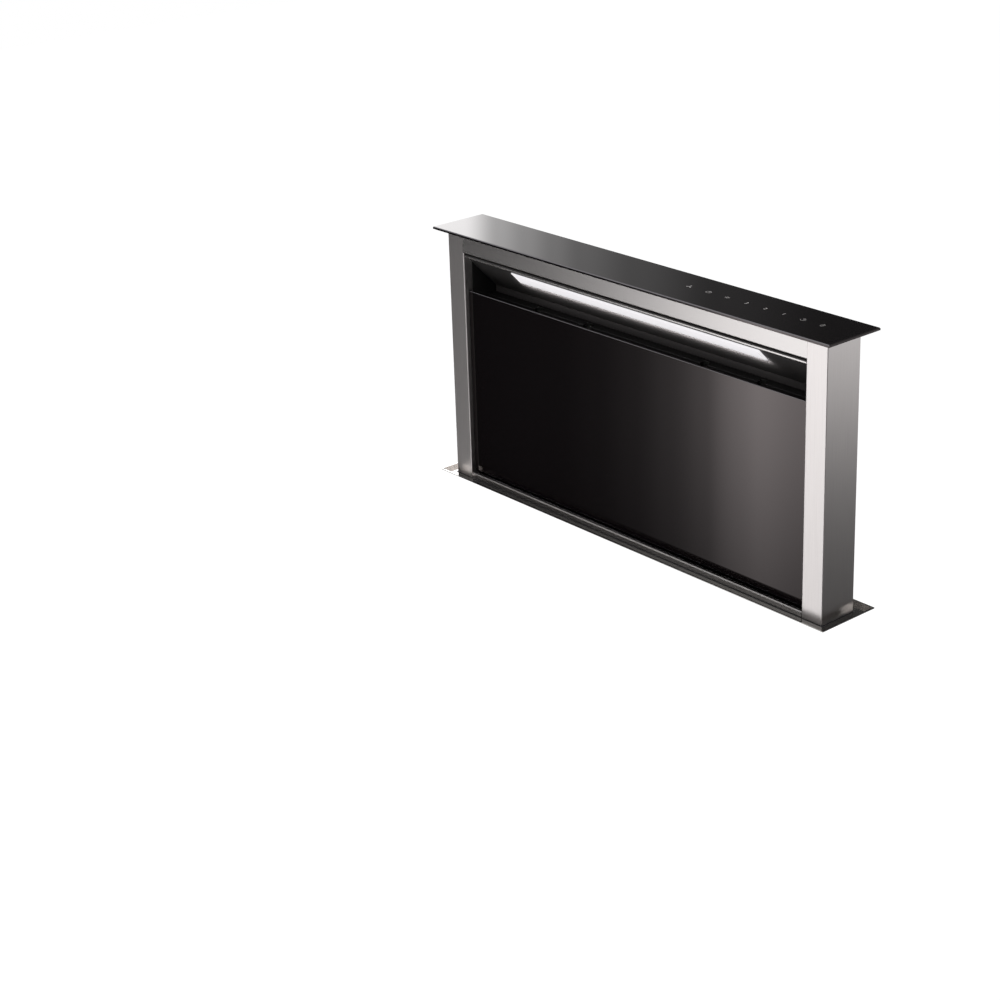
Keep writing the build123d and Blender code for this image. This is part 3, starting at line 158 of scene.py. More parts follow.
def deselect():
    """Leaves nothing selected, so that the next operator acts on its own piece alone."""
    if bpy.context.object and bpy.context.object.mode != "OBJECT":
        bpy.ops.object.mode_set(mode="OBJECT")
    bpy.ops.object.select_all(action="DESELECT")


# Floor and worktop: the cabinet floor, and a slab with the cut-out that the vent hangs in, which hides what lies
# below it from the photograph's place. Both are matt white board that keeps the vent's shadow, and the slab's cut
# edges and underside are left raw.
white_board, tree = begin("white_board")
path = put(tree, "LightPath", {})
paint = put(tree, "BsdfDiffuse", {"Color": linear("F4F4F4")})
lit = put(tree, "Emission", {"Color": (1.0, 1.0, 1.0, 1.0), "Strength": 1.12})
share = put(tree, "Math", {0: path.outputs["Is Camera Ray"], 1: 0.75}, operation="MULTIPLY")
board = put(tree, "MixShader", {"Fac": share.outputs[0], 1: paint.outputs[0], 2: lit.outputs[0]})
put(tree, "OutputMaterial", {"Surface": board.outputs[0]})

deselect()
bpy.ops.mesh.primitive_plane_add(size=16.0, location=(0.0, 0.0, 0.0))
floor = bpy.context.object
floor.name = "floor"
floor.data.materials.append(white_board)
floor.visible_glossy = False

tray_low, tray_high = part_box("trim_tray")
slab_top, slab_thickness = 0.700, 0.038
slab_left, slab_right, slab_front, slab_back = -0.475, 1.12, -1.06, 0.155
tray_sheet, cut_out_gap = 0.0012, 0.0008
wall_x = (tray_high.x - tray_low.x) / 2 - tray_sheet + cut_out_gap
wall_front = tray_low.y + tray_sheet - cut_out_gap
wall_back = tray_high.y - tray_sheet + cut_out_gap
# two slanted cuts take off the slab's corners that the photograph's place doesn't need
left_cut, left_way = (slab_left, -0.06, 0), (-0.79, -0.915, 0)
right_cut, right_way = (-slab_left, slab_back, 0), (0.735, 0.625, 0)
deselect()
bpy.ops.mesh.primitive_plane_add(size=1.0)
worktop = bpy.context.object
worktop.name = "worktop"
bpy.ops.object.mode_set(mode="EDIT")
shape = bmesh.from_edit_mesh(worktop.data)
for corner in shape.verts:
    corner.co.x = slab_right if corner.co.x > 0 else slab_left
    corner.co.y = slab_back if corner.co.y > 0 else slab_front
    corner.co.z = slab_top
bmesh.update_edit_mesh(worktop.data)
for spot, normal, cut_off in (
    (left_cut, left_way, True), (right_cut, right_way, True),
    ((-wall_x, 0, 0), (1, 0, 0), False), ((wall_x, 0, 0), (1, 0, 0), False),
    ((0, wall_front, 0), (0, 1, 0), False), ((0, wall_back, 0), (0, 1, 0), False),
):
    bpy.ops.mesh.select_all(action="SELECT")
    bpy.ops.mesh.bisect(plane_co=spot, plane_no=normal, clear_outer=cut_off)
bpy.ops.mesh.select_all(action="DESELECT")
shape = bmesh.from_edit_mesh(worktop.data)
for face in shape.faces:
    middle = face.calc_center_median()
    face.select_set(abs(middle.x) < wall_x and wall_front < middle.y < wall_back)
bmesh.update_edit_mesh(worktop.data)
bpy.ops.mesh.delete(type="FACE")
bpy.ops.mesh.select_all(action="SELECT")
bpy.ops.mesh.extrude_region_move(TRANSFORM_OT_translate={"value": (0, 0, -slab_thickness)})
bpy.ops.mesh.select_all(action="SELECT")
bpy.ops.mesh.normals_make_consistent(inside=False)
bpy.ops.object.mode_set(mode="OBJECT")

raw_board, tree = begin("raw_board_edge")
place = put(tree, "TexCoord", {})
fibre = put(tree, "TexNoise", {"Vector": place.outputs["Object"], "Scale": 1000 / 6})
chips = put(tree, "ValToRGB", {"Fac": fibre.outputs["Fac"]})
chips.color_ramp.elements[0].color = linear("C9C8C6")
chips.color_ramp.elements[1].color = linear("D6D5D3")
paint = put(tree, "BsdfDiffuse", {"Color": chips.outputs["Color"]})
put(tree, "OutputMaterial", {"Surface": paint.outputs[0]})
worktop.data.materials.append(white_board)
worktop.data.materials.append(raw_board)
for face in worktop.data.polygons:
    face.material_index = 0 if face.normal.z > 0.9 else 1
worktop.visible_glossy = False


def dress(material, *names):
    """Gives CAD nodes their finish."""
    for name in names:
        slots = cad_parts[name].data.materials
        slots.clear()
        slots.append(material)


# Housing: hot-dip galvanised sheet, folded and screwed together. Its zinc shows a spangle of matt crystals about
# 12 mm across, a little lighter or darker as they lie.
galvanised, tree = begin("galvanised_sheet")
place = put(tree, "TexCoord", {})
spangle = put(tree, "TexVoronoi", {"Vector": place.outputs["Object"], "Scale": 1000 / 12, "Randomness": 1.0})
tone = put(tree, "RGBToBW", {"Color": spangle.outputs["Color"]})
zinc = put(tree, "ValToRGB", {"Fac": tone.outputs[0]})
zinc.color_ramp.elements[0].color = linear("8F9496")
zinc.color_ramp.elements[1].color = linear("B4B8B9")
matt = put(tree, "MapRange", {"Value": tone.outputs[0], "To Min": 0.38, "To Max": 0.52})
relief = put(tree, "Bump", {"Strength": 0.06, "Distance": 0.0002, "Height": tone.outputs[0]})
shader = put(tree, "BsdfPrincipled", {"Base Color": zinc.outputs["Color"], "Metallic": 0.85,
                                      "Roughness": matt.outputs[0], "Normal": relief.outputs[0]})
put(tree, "OutputMaterial", {"Surface": shader.outputs[0]})
dress(galvanised, "housing_front", "housing_back", "housing_sides", "housing_floor", "blower_box", "blower_cover",
      "inlet_ring", "control_box", "control_cover", "foot_brackets")

# Feet, clamps, latches and other small hardware: turned or pressed steel with bright zinc plating, which has a
# faint milky cloud to it.
zinc_plated, tree = begin("zinc_plated_steel")
place = put(tree, "TexCoord", {})
cloud = put(tree, "TexNoise", {"Vector": place.outputs["Object"], "Scale": 1000 / 6, "Detail": 3.0})
milky = put(tree, "ValToRGB", {"Fac": cloud.outputs["Fac"]})
milky.color_ramp.elements[0].color = linear("9C9E9C")
milky.color_ramp.elements[1].color = linear("C2C4C3")
rub = put(tree, "MapRange", {"Value": cloud.outputs["Fac"], "To Min": 0.24, "To Max": 0.42})
shader = put(tree, "BsdfPrincipled", {"Base Color": milky.outputs["Color"], "Metallic": 1.0,
                                      "Roughness": rub.outputs[0]})
put(tree, "OutputMaterial", {"Surface": shader.outputs[0]})
dress(zinc_plated, "levelling_feet", "clamp_left", "clamp_right", "fasteners", "latch_left", "latch_right",
      "drive_plate", "panel_pivots")


def pick_faces(test):
    """Selects, in edit mode, the faces of the active piece whose middle and normal pass the test."""
    bpy.ops.mesh.select_mode(type="FACE")
    bpy.ops.mesh.select_all(action="DESELECT")
    mesh = bpy.context.object.data
    shape = bmesh.from_edit_mesh(mesh)
    for face in shape.faces:
        if test(face.calc_center_median(), face.normal):
            face.select_set(True)
    bmesh.update_edit_mesh(mesh)


def soften(piece, width, segments=2):
    """Rounds every sharp edge of a piece a little."""
    rounding = piece.modifiers.new("rounding", "BEVEL")
    rounding.width = width
    rounding.segments = segments
    rounding.limit_method = "ANGLE"
    rounding.angle_limit = radians(30)
    bpy.context.view_layer.objects.active = piece
    bpy.ops.object.modifier_apply(modifier=rounding.name)


def join(pieces):
    """Makes one piece of several, each with its place kept."""
    deselect()
    for piece in pieces:
        piece.select_set(True)
    bpy.context.view_layer.objects.active = pieces[0]
    bpy.ops.object.transform_apply(location=True, rotation=True, scale=True)
    bpy.ops.object.join()
    return pieces[0]


def settle(piece, name, material, body):
    """Names a finished piece, puts its place into its mesh, dresses it and lets it ride on its body."""
    deselect()
    piece.select_set(True)
    bpy.context.view_layer.objects.active = piece
    bpy.ops.object.transform_apply(location=True, rotation=True, scale=True)
    bpy.ops.object.shade_smooth_by_angle(angle=radians(35))
    piece.name = piece.data.name = name
    piece.data.materials.clear()
    piece.data.materials.append(material)
    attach(piece, body)


# Fasteners: pan-head screws with a cross recess, zinc plated, that hold the sheets together, and one hexagon bolt
# with its washer for each worktop clamp.
head_radius, head_height, head_rim = 0.004, 0.0022, 0.0011
shank_radius, shank_length, tip_length, tip_taper = 0.002, 0.0055, 0.0015, 0.45
recess_length, recess_width, recess_depth = 0.0046, 0.0011, 0.0015
deselect()
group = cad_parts["fasteners"].copy()
group.data = group.data.copy()
bpy.context.scene.collection.objects.link(group)
group.select_set(True)
bpy.context.view_layer.objects.active = group
bpy.ops.object.mode_set(mode="EDIT")
bpy.ops.mesh.select_all(action="SELECT")
bpy.ops.mesh.remove_doubles(threshold=0.000001)
bpy.ops.mesh.separate(type="LOOSE")
bpy.ops.object.mode_set(mode="OBJECT")
fastener_copies = list(bpy.context.selected_objects)
pan_heads, bolts = [], []
for copied in fastener_copies:
    spots = [v.co for v in copied.data.vertices]
    low = Vector([min(spot[i] for spot in spots) for i in range(3)])
    high = Vector([max(spot[i] for spot in spots) for i in range(3)])
    if abs((high.x - low.x) - (high.z - low.z)) < 0.0002:
        head_end = [spot for spot in spots if abs(spot.x - (low.x + high.x) / 2) > 0.45 * (high.x - low.x)]
        faces_front = sum(spot.y for spot in head_end) / len(head_end) < (low.y + high.y) / 2
        pan_heads.append((low, high, faces_front))
    else:
        bolts.append(copied)

# one screw, drawn with its head up at the origin: head, shank and the cross pressed into the head
deselect()
bpy.ops.mesh.primitive_cylinder_add(vertices=24, radius=head_radius, depth=head_height,
                                    location=(0, 0, head_height / 2))
model = bpy.context.object
bpy.ops.object.transform_apply(location=True)
bpy.ops.object.mode_set(mode="EDIT")
pick_faces(lambda middle, normal: normal.z < -0.9)
bpy.ops.mesh.inset(thickness=head_radius - shank_radius)
for length in (shank_length, tip_length):
    bpy.ops.mesh.extrude_region_move(TRANSFORM_OT_translate={"value": (0, 0, -length)})
bpy.ops.transform.resize(value=(tip_taper, tip_taper, 1.0))
pick_faces(lambda middle, normal: normal.z > 0.9)
bpy.ops.mesh.inset(thickness=head_rim)
bpy.ops.object.mode_set(mode="OBJECT")
for corner in model.data.vertices:
    if corner.co.z > 0.9 * head_height and corner.co.xy.length > head_radius - head_rim / 2:
        corner.co.z -= 0.4 * head_height
for turn in (0.0, pi / 2):
    deselect()
    bpy.ops.mesh.primitive_cube_add(size=1.0, location=(0, 0, head_height))
    cutter = bpy.context.object
    cutter.scale = (recess_length, recess_width, 2 * recess_depth)
    cutter.rotation_euler.z = turn
    bpy.ops.object.transform_apply(location=True, rotation=True, scale=True)
    recess = model.modifiers.new("recess", "BOOLEAN")
    recess.operation = "DIFFERENCE"
    recess.object = cutter
    bpy.context.view_layer.objects.active = model
    bpy.ops.object.modifier_apply(modifier=recess.name)
    bpy.data.objects.remove(cutter)

screws = []
for low, high, faces_front in pan_heads:
    deselect()
    one = model.copy()
    one.data = model.data.copy()
    bpy.context.scene.collection.objects.link(one)
    one.rotation_euler = (pi / 2 if faces_front else -pi / 2, 0.3 * len(screws), 0.0)
    seat = low.y + head_height if faces_front else high.y - head_height
    one.location = ((low.x + high.x) / 2, seat, (low.z + high.z) / 2)
    screws.append(one)
bpy.data.objects.remove(model)
for copied in fastener_copies:
    if copied not in bolts:
        bpy.data.objects.remove(copied)
all_fasteners = join(screws + bolts)
settle(all_fasteners, "cross_recess_fasteners", zinc_plated, "housing")
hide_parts("fasteners")

# Ribs: pressed outwards into the housing's back sheet, three long ones, and into the blower's cover, one ring round
# its middle. They stiffen the thin galvanised sheets, which would drum without them.
rib_width, rib_rise, rib_sink, rib_rounding, rib_end_gap = 0.014, 0.0014, 0.0006, 0.0013, 0.07
ring_radius = 0.102


def band(radius, height, wall, rounding):
    """Ring of flat section round the upright axis, with rounded edges."""
    deselect()
    bpy.ops.mesh.primitive_cylinder_add(vertices=96, radius=radius, depth=height, end_fill_type="NOTHING")
    ring = bpy.context.object
    section = ring.modifiers.new("section", "SOLIDIFY")
    section.thickness = wall
    section.offset = -1.0
    bpy.ops.object.modifier_apply(modifier=section.name)
    soften(ring, rounding, 3)
    return ring


back_low, back_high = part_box("housing_back")
reach = (back_high.x - back_low.x) / 2 - rib_end_gap - rib_width / 2
ribs = []
for share in (0.25, 0.5, 0.75):
    deselect()
    bpy.ops.mesh.primitive_cylinder_add(vertices=24, radius=rib_width / 2, depth=rib_rise + rib_sink)
    rib = bpy.context.object
    bpy.ops.object.mode_set(mode="EDIT")
    shape = bmesh.from_edit_mesh(rib.data)
    for corner in shape.verts:
        if abs(corner.co.x) > 0.0001:
            corner.co.x += reach if corner.co.x > 0 else -reach
    bmesh.update_edit_mesh(rib.data)
    bpy.ops.object.mode_set(mode="OBJECT")
    soften(rib, rib_rounding, 3)
    rib.rotation_euler.x = -pi / 2
    rib.location = (0.0, back_high.y + (rib_rise - rib_sink) / 2, back_low.z + share * (back_high.z - back_low.z))
    ribs.append(rib)
cover_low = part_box("blower_cover")[0]
motor_low, motor_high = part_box("fan_motor")
ring_rib = band(ring_radius, rib_rise + rib_sink, rib_width, rib_rounding)
ring_rib.rotation_euler.x = pi / 2
ring_rib.location = ((motor_low.x + motor_high.x) / 2, cover_low.y - (rib_rise - rib_sink) / 2,
                     (motor_low.z + motor_high.z) / 2)
settle(join(ribs), "housing_back_ribs", galvanised, "housing")
settle(ring_rib, "blower_cover_rib", galvanised, "housing")

# Lift: extruded aluminium rails and carriage, and turned aluminium pulleys. The metal is left plain, with fine
# draw lines along the length.
plain_aluminium, tree = begin("extruded_aluminium")
place = put(tree, "TexCoord", {})
stretch = put(tree, "Mapping", {"Vector": place.outputs["Object"], "Scale": (1.0, 1.0, 0.02)})
lines = put(tree, "TexNoise", {"Vector": stretch.outputs[0], "Scale": 1000 / 1.5, "Detail": 2.0})
skin = put(tree, "ValToRGB", {"Fac": lines.outputs["Fac"]})
skin.color_ramp.elements[0].color = linear("B2B4B6")
skin.color_ramp.elements[1].color = linear("D2D3D4")
rub = put(tree, "MapRange", {"Value": lines.outputs["Fac"], "To Min": 0.28, "To Max": 0.42})
shader = put(tree, "BsdfPrincipled", {"Base Color": skin.outputs["Color"], "Metallic": 1.0,
                                      "Roughness": rub.outputs[0]})
put(tree, "OutputMaterial", {"Surface": shader.outputs[0]})
dress(plain_aluminium, "guide_rails", "carriage", "left_pulley", "right_pulley", "motor_pulley", "lift_motor",
      "fan_motor", "filter_frames")

# Filter cores: layers of expanded aluminium pressed together. Between the strands of the outer layer the deeper ones
# lie in a dark, finer weave of diamonds about 4 mm long, whose darkness is painted shade in the colour.
layered_mesh, tree = begin("layered_aluminium_mesh_painted_shade")
place = put(tree, "TexCoord", {})
squash = put(tree, "Mapping", {"Vector": place.outputs["Object"], "Scale": (1.0, 1.0, 1.8)})
strands = put(tree, "TexVoronoi", {"Vector": squash.outputs[0], "Scale": 1000 / 4, "Randomness": 0.35},
              feature="DISTANCE_TO_EDGE")
# painted shade: the colour darkens away from the strands, where the deeper layers lie in shadow
depth = put(tree, "ValToRGB", {"Fac": strands.outputs["Distance"]})
depth.color_ramp.elements[0].color = linear("A9ABAD")
depth.color_ramp.elements[1].color = linear("3A3B3D")
depth.color_ramp.elements[1].position = 0.3
relief = put(tree, "Bump", {"Strength": 0.7, "Distance": 0.0006, "Height": strands.outputs["Distance"]}, invert=True)
shader = put(tree, "BsdfPrincipled", {"Base Color": depth.outputs["Color"], "Metallic": 1.0, "Roughness": 0.42,
                                      "Normal": relief.outputs[0]})
put(tree, "OutputMaterial", {"Surface": shader.outputs[0]})
dress(layered_mesh, "filter_meshes")

# Outer layer of each filter core: one sheet of expanded aluminium, slit and drawn into diamonds 12 mm long and
# 6 mm high with strands 0.9 mm wide. The frame's edges clamp it over the core.
diamond_length, diamond_height, strand = 0.012, 0.006, 0.0009
core_thickness, core_lean = 0.005, radians(5)
core_low, core_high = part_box("filter_meshes")
core_inner = min(v.co.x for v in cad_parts["filter_meshes"].data.vertices if v.co.x > 0)
sheet_width = core_high.x - core_inner
sheet_length = (core_high.z - core_low.z - core_thickness * sin(core_lean)) / cos(core_lean)
rows = 2 * int(sheet_width / diamond_length / 2 + sheet_length / diamond_height / 2 + 2)
for side, name in ((-1, "filter_screen_left"), (1, "filter_screen_right")):
    deselect()
    bpy.ops.mesh.primitive_grid_add(x_subdivisions=rows, y_subdivisions=rows, size=rows)
    screen = bpy.context.object
    # a square grid stood on its corner, each cell drawn out to one diamond
    screen.rotation_euler.z = radians(45)
    bpy.ops.object.transform_apply(rotation=True)
    screen.scale = (diamond_length / 2 ** 0.5, diamond_height / 2 ** 0.5, 1.0)
    bpy.ops.object.transform_apply(scale=True)
    bpy.ops.object.mode_set(mode="EDIT")
    for spot, normal in (((-sheet_width / 2, 0, 0), (-1, 0, 0)), ((sheet_width / 2, 0, 0), (1, 0, 0)),
                         ((0, -sheet_length / 2, 0), (0, -1, 0)), ((0, sheet_length / 2, 0), (0, 1, 0))):
        bpy.ops.mesh.select_all(action="SELECT")
        bpy.ops.mesh.bisect(plane_co=spot, plane_no=normal, clear_outer=True)
    bpy.ops.object.mode_set(mode="OBJECT")
    wires = screen.modifiers.new("wires", "WIREFRAME")
    wires.thickness = strand
    wires.use_boundary = True
    wires.use_even_offset = False
    bpy.ops.object.modifier_apply(modifier=wires.name)
    screen.rotation_euler = (pi / 2 - core_lean, 0.0, 0.0)
    screen.location = (side * (core_inner + core_high.x) / 2,
                       (core_low.y + core_high.y) / 2 - (core_thickness / 2 + strand / 4) * cos(core_lean),
                       (core_low.z + core_high.z) / 2 + (core_thickness / 2 + strand / 4) * sin(core_lean))
    settle(screen, name, plain_aluminium, "column")

# Lead screws and fan shaft: round steel bar, turned, so that it is bright with faint rings from the tool.
turned_steel, tree = begin("turned_steel")
place = put(tree, "TexCoord", {})
rings = put(tree, "TexNoise", {"Vector": place.outputs["Object"], "Scale": 1000 / 3, "Detail": 2.0})
rub = put(tree, "MapRange", {"Value": rings.outputs["Fac"], "To Min": 0.18, "To Max": 0.3})
shader = put(tree, "BsdfPrincipled", {"Base Color": linear("A6A6A8"), "Metallic": 1.0, "Roughness": rub.outputs[0]})
put(tree, "OutputMaterial", {"Surface": shader.outputs[0]})
dress(turned_steel, "left_screw", "right_screw", "fan_shaft")

# Lead screws: turned steel rods with a rolled trapezoid thread, two starts of 4 mm pitch, so a turn lifts the column
# 8 mm. Below the thread each has a plain journal for its bearing and pulley.
thread_pitch, thread_starts, thread_depth, thread_chamfer = 0.004, 2, 0.001, 0.0015
root_share, flank_share = 0.12, 0.14
ring_cuts, cut_rounds = 25, 2
journal_overlap = 0.001


def thread_radius(outside, turn, height, top):
    """Radius of the thread at a height and an angle, given in turns, with its chamfered top end."""
    along = (height / thread_pitch - thread_starts * turn) % 1.0
    flank = min(max((0.5 - abs(along - 0.5) - root_share) / flank_share, 0.0), 1.0)
    return min(outside - thread_depth * (1 - flank), outside - thread_chamfer + top - height)


for name in ("left_screw", "right_screw"):
    rod_low, rod_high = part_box(name)
    rod_x, rod_y = (rod_low.x + rod_high.x) / 2, (rod_low.y + rod_high.y) / 2
    rod_radius = (rod_high.x - rod_low.x) / 2
    rod_spots = [v.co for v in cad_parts[name].data.vertices]
    thread_low = min(spot.z for spot in rod_spots if abs(spot.x - rod_x) > 0.8 * rod_radius)
    journal_radius = max(abs(spot.x - rod_x) for spot in rod_spots if spot.z < rod_low.z + 0.0001)
    thread_length = rod_high.z - thread_low
    deselect()
    bpy.ops.mesh.primitive_cylinder_add(vertices=20, radius=rod_radius, depth=thread_length)
    rod = bpy.context.object
    bpy.ops.object.mode_set(mode="EDIT")
    bpy.ops.mesh.select_mode(type="EDGE")
    for _ in range(cut_rounds):
        bpy.ops.mesh.select_all(action="DESELECT")
        shape = bmesh.from_edit_mesh(rod.data)
        for edge in shape.edges:
            edge.select_set(abs(edge.verts[0].co.z - edge.verts[1].co.z) > 0.0001)
        bmesh.update_edit_mesh(rod.data)
        bpy.ops.mesh.subdivide(number_cuts=ring_cuts)
    shape = bmesh.from_edit_mesh(rod.data)
    for corner in shape.verts:
        reach = corner.co.xy.length
        if reach > 0.0001:
            turn = corner.co.xy.angle_signed(Vector((1.0, 0.0))) / (2 * pi)
            new_reach = thread_radius(rod_radius, turn, corner.co.z, thread_length / 2)
            corner.co.x *= new_reach / reach
            corner.co.y *= new_reach / reach
    bmesh.update_edit_mesh(rod.data)
    bpy.ops.object.mode_set(mode="OBJECT")
    rod.location = (rod_x, rod_y, thread_low + thread_length / 2)
    bpy.ops.object.transform_apply(location=True)
    deselect()
    journal_length = thread_low - rod_low.z + journal_overlap
    bpy.ops.mesh.primitive_cylinder_add(vertices=32, radius=journal_radius, depth=journal_length,
                                        location=(rod_x, rod_y, rod_low.z + journal_length / 2))
    journal = bpy.context.object
    bpy.ops.object.transform_apply(location=True)
    soften(journal, 0.0005)
    settle(join([rod, journal]), name + "_threaded", turned_steel, name)
    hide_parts(name)

# Lead nuts: plain bronze, turned and bored, warm in colour and a little darker in places. They ride on the screws.
bronze, tree = begin("plain_bronze")
place = put(tree, "TexCoord", {})
rings = put(tree, "TexNoise", {"Vector": place.outputs["Object"], "Scale": 1000 / 4, "Detail": 2.0})
warm = put(tree, "ValToRGB", {"Fac": rings.outputs["Fac"]})
warm.color_ramp.elements[0].color = linear("9C7434")
warm.color_ramp.elements[1].color = linear("C79A52")
shader = put(tree, "BsdfPrincipled", {"Base Color": warm.outputs["Color"], "Metallic": 1.0, "Roughness": 0.3})
put(tree, "OutputMaterial", {"Surface": shader.outputs[0]})
dress(bronze, "lead_nuts")

# Belt, seal and gasket: black rubber, moulded, dull, with a fine dusty bloom.
rubber, tree = begin("black_rubber")
place = put(tree, "TexCoord", {})
bloom = put(tree, "TexNoise", {"Vector": place.outputs["Object"], "Scale": 1000 / 5, "Detail": 4.0})
dull = put(tree, "ValToRGB", {"Fac": bloom.outputs["Fac"]})
dull.color_ramp.elements[0].color = linear("141415")
dull.color_ramp.elements[1].color = linear("262627")
shader = put(tree, "BsdfPrincipled", {"Base Color": dull.outputs["Color"], "Roughness": 0.72, "IOR": 1.5})
put(tree, "OutputMaterial", {"Surface": shader.outputs[0]})
dress(rubber, "drive_belt", "mouth_seal", "cap_gasket")

# Foot pads: a black rubber band stretched round the rim of each levelling foot, which stops it from marking the
# cabinet floor.
pad_height, pad_wall, pad_grip, pad_rounding = 0.004, 0.0012, 0.0004, 0.0004
foot_rims = [v.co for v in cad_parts["levelling_feet"].data.vertices if v.co.z < 0.0005]
foot_pads = []
for right in (False, True):
    for back in (False, True):
        rim = [spot for spot in foot_rims if (spot.x > 0) == right and (spot.y > 0) == back]
        west, east = min(spot.x for spot in rim), max(spot.x for spot in rim)
        south, north = min(spot.y for spot in rim), max(spot.y for spot in rim)
        pad = band((east - west) / 2 + pad_wall - pad_grip, pad_height, pad_wall, pad_rounding)
        pad.location = ((west + east) / 2, (south + north) / 2, pad_height / 2)
        foot_pads.append(pad)
settle(join(foot_pads), "foot_pads", rubber, "housing")

# Slide shoes: white acetal, machined, slightly waxy.
acetal, tree = begin("white_acetal")
place = put(tree, "TexCoord", {})
wax = put(tree, "TexNoise", {"Vector": place.outputs["Object"], "Scale": 1000 / 8, "Detail": 2.0})
pale = put(tree, "ValToRGB", {"Fac": wax.outputs["Fac"]})
pale.color_ramp.elements[0].color = linear("DDDBD2")
pale.color_ramp.elements[1].color = linear("ECEAE2")
shader = put(tree, "BsdfPrincipled", {"Base Color": pale.outputs["Color"], "Roughness": 0.42, "IOR": 1.48})
put(tree, "OutputMaterial", {"Surface": shader.outputs[0]})
dress(acetal, "slide_shoes")

# Duct spigot, impeller and cable gland: moulded in black ABS, whose fine spark-eroded grain dulls the highlights.
black_moulding, tree = begin("black_abs")
place = put(tree, "TexCoord", {})
grain = put(tree, "TexNoise", {"Vector": place.outputs["Object"], "Scale": 1000 / 1.2, "Detail": 2.0})
relief = put(tree, "Bump", {"Strength": 0.25, "Distance": 0.00015, "Height": grain.outputs["Fac"]})
shader = put(tree, "BsdfPrincipled", {"Base Color": linear("1B1B1D"), "Roughness": 0.46, "IOR": 1.53,
                                      "Normal": relief.outputs[0]})
put(tree, "OutputMaterial", {"Surface": shader.outputs[0]})
dress(black_moulding, "duct_spigot", "impeller", "cable_gland")

# Duct spigot's beads: two rings moulded round its pipe, which keep the clamped duct from slipping off.
bead_rise, bead_sink, bead_width, bead_rounding, mouth_gap, bead_step = 0.0014, 0.0005, 0.004, 0.0009, 0.006, 0.012
mouth_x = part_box("duct_spigot")[1].x
mouth_rim = [v.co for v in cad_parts["duct_spigot"].data.vertices if v.co.x > mouth_x - 0.0005]
pipe_low = Vector([min(spot[i] for spot in mouth_rim) for i in range(3)])
pipe_high = Vector([max(spot[i] for spot in mouth_rim) for i in range(3)])
pipe_radius = (pipe_high.z - pipe_low.z) / 2
beads = []
for step in range(2):
    bead = band(pipe_radius + bead_rise, bead_width, bead_rise + bead_sink, bead_rounding)
    bead.rotation_euler.y = pi / 2
    bead.location = (mouth_x - mouth_gap - step * bead_step, (pipe_low.y + pipe_high.y) / 2,
                     (pipe_low.z + pipe_high.z) / 2)
    beads.append(bead)
settle(join(beads), "duct_spigot_beads", black_moulding, "housing")

# Bearing blocks, scroll and damper flaps: moulded in grey ABS, with the same fine grain as the black mouldings.
grey_moulding, tree = begin("grey_abs")
place = put(tree, "TexCoord", {})
grain = put(tree, "TexNoise", {"Vector": place.outputs["Object"], "Scale": 1000 / 1.2, "Detail": 2.0})
relief = put(tree, "Bump", {"Strength": 0.25, "Distance": 0.00015, "Height": grain.outputs["Fac"]})
shader = put(tree, "BsdfPrincipled", {"Base Color": linear("74777A"), "Roughness": 0.5, "IOR": 1.53,
                                      "Normal": relief.outputs[0]})
put(tree, "OutputMaterial", {"Surface": shader.outputs[0]})
dress(grey_moulding, "bearing_blocks", "scroll_housing", "damper_flap_front", "damper_flap_back")

# Circuit boards: green lacquer over woven glass, with paler tracks.
lacquered_board, tree = begin("lacquered_circuit_board")
place = put(tree, "TexCoord", {})
tracks = put(tree, "TexVoronoi", {"Vector": place.outputs["Object"], "Scale": 1000 / 4}, distance="CHEBYCHEV",
             feature="DISTANCE_TO_EDGE")
copper = put(tree, "ValToRGB", {"Fac": tracks.outputs["Distance"]})
copper.color_ramp.elements[0].color = linear("2E8A50")
copper.color_ramp.elements[1].color = linear("165431")
copper.color_ramp.elements[1].position = 0.12
shader = put(tree, "BsdfPrincipled", {"Base Color": copper.outputs["Color"], "Roughness": 0.3, "IOR": 1.55})
put(tree, "OutputMaterial", {"Surface": shader.outputs[0]})
dress(lacquered_board, "touch_board", "led_board", "control_board")

# Catch magnets: pressed magnets with a nickel plate, bright and slightly clouded. They hold the front panel shut.
nickel, tree = begin("nickel_plate")
place = put(tree, "TexCoord", {})
cloud = put(tree, "TexNoise", {"Vector": place.outputs["Object"], "Scale": 1000 / 4, "Detail": 2.0})
rub = put(tree, "MapRange", {"Value": cloud.outputs["Fac"], "To Min": 0.15, "To Max": 0.3})
shader = put(tree, "BsdfPrincipled", {"Base Color": linear("AFACA4"), "Metallic": 1.0, "Roughness": rub.outputs[0]})
put(tree, "OutputMaterial", {"Surface": shader.outputs[0]})
dress(nickel, "catch_magnets")

# Tray in the worktop: bright stainless, polished before it was pressed, so it mirrors softly.
bright_steel, tree = begin("bright_stainless_steel")
place = put(tree, "TexCoord", {})
haze = put(tree, "TexNoise", {"Vector": place.outputs["Object"], "Scale": 1000 / 30, "Detail": 3.0})
rub = put(tree, "MapRange", {"Value": haze.outputs["Fac"], "To Min": 0.06, "To Max": 0.16})
shader = put(tree, "BsdfPrincipled", {"Base Color": linear("C9C7C4"), "Metallic": 1.0, "Roughness": rub.outputs[0]})
put(tree, "OutputMaterial", {"Surface": shader.outputs[0]})
dress(bright_steel, "trim_tray")

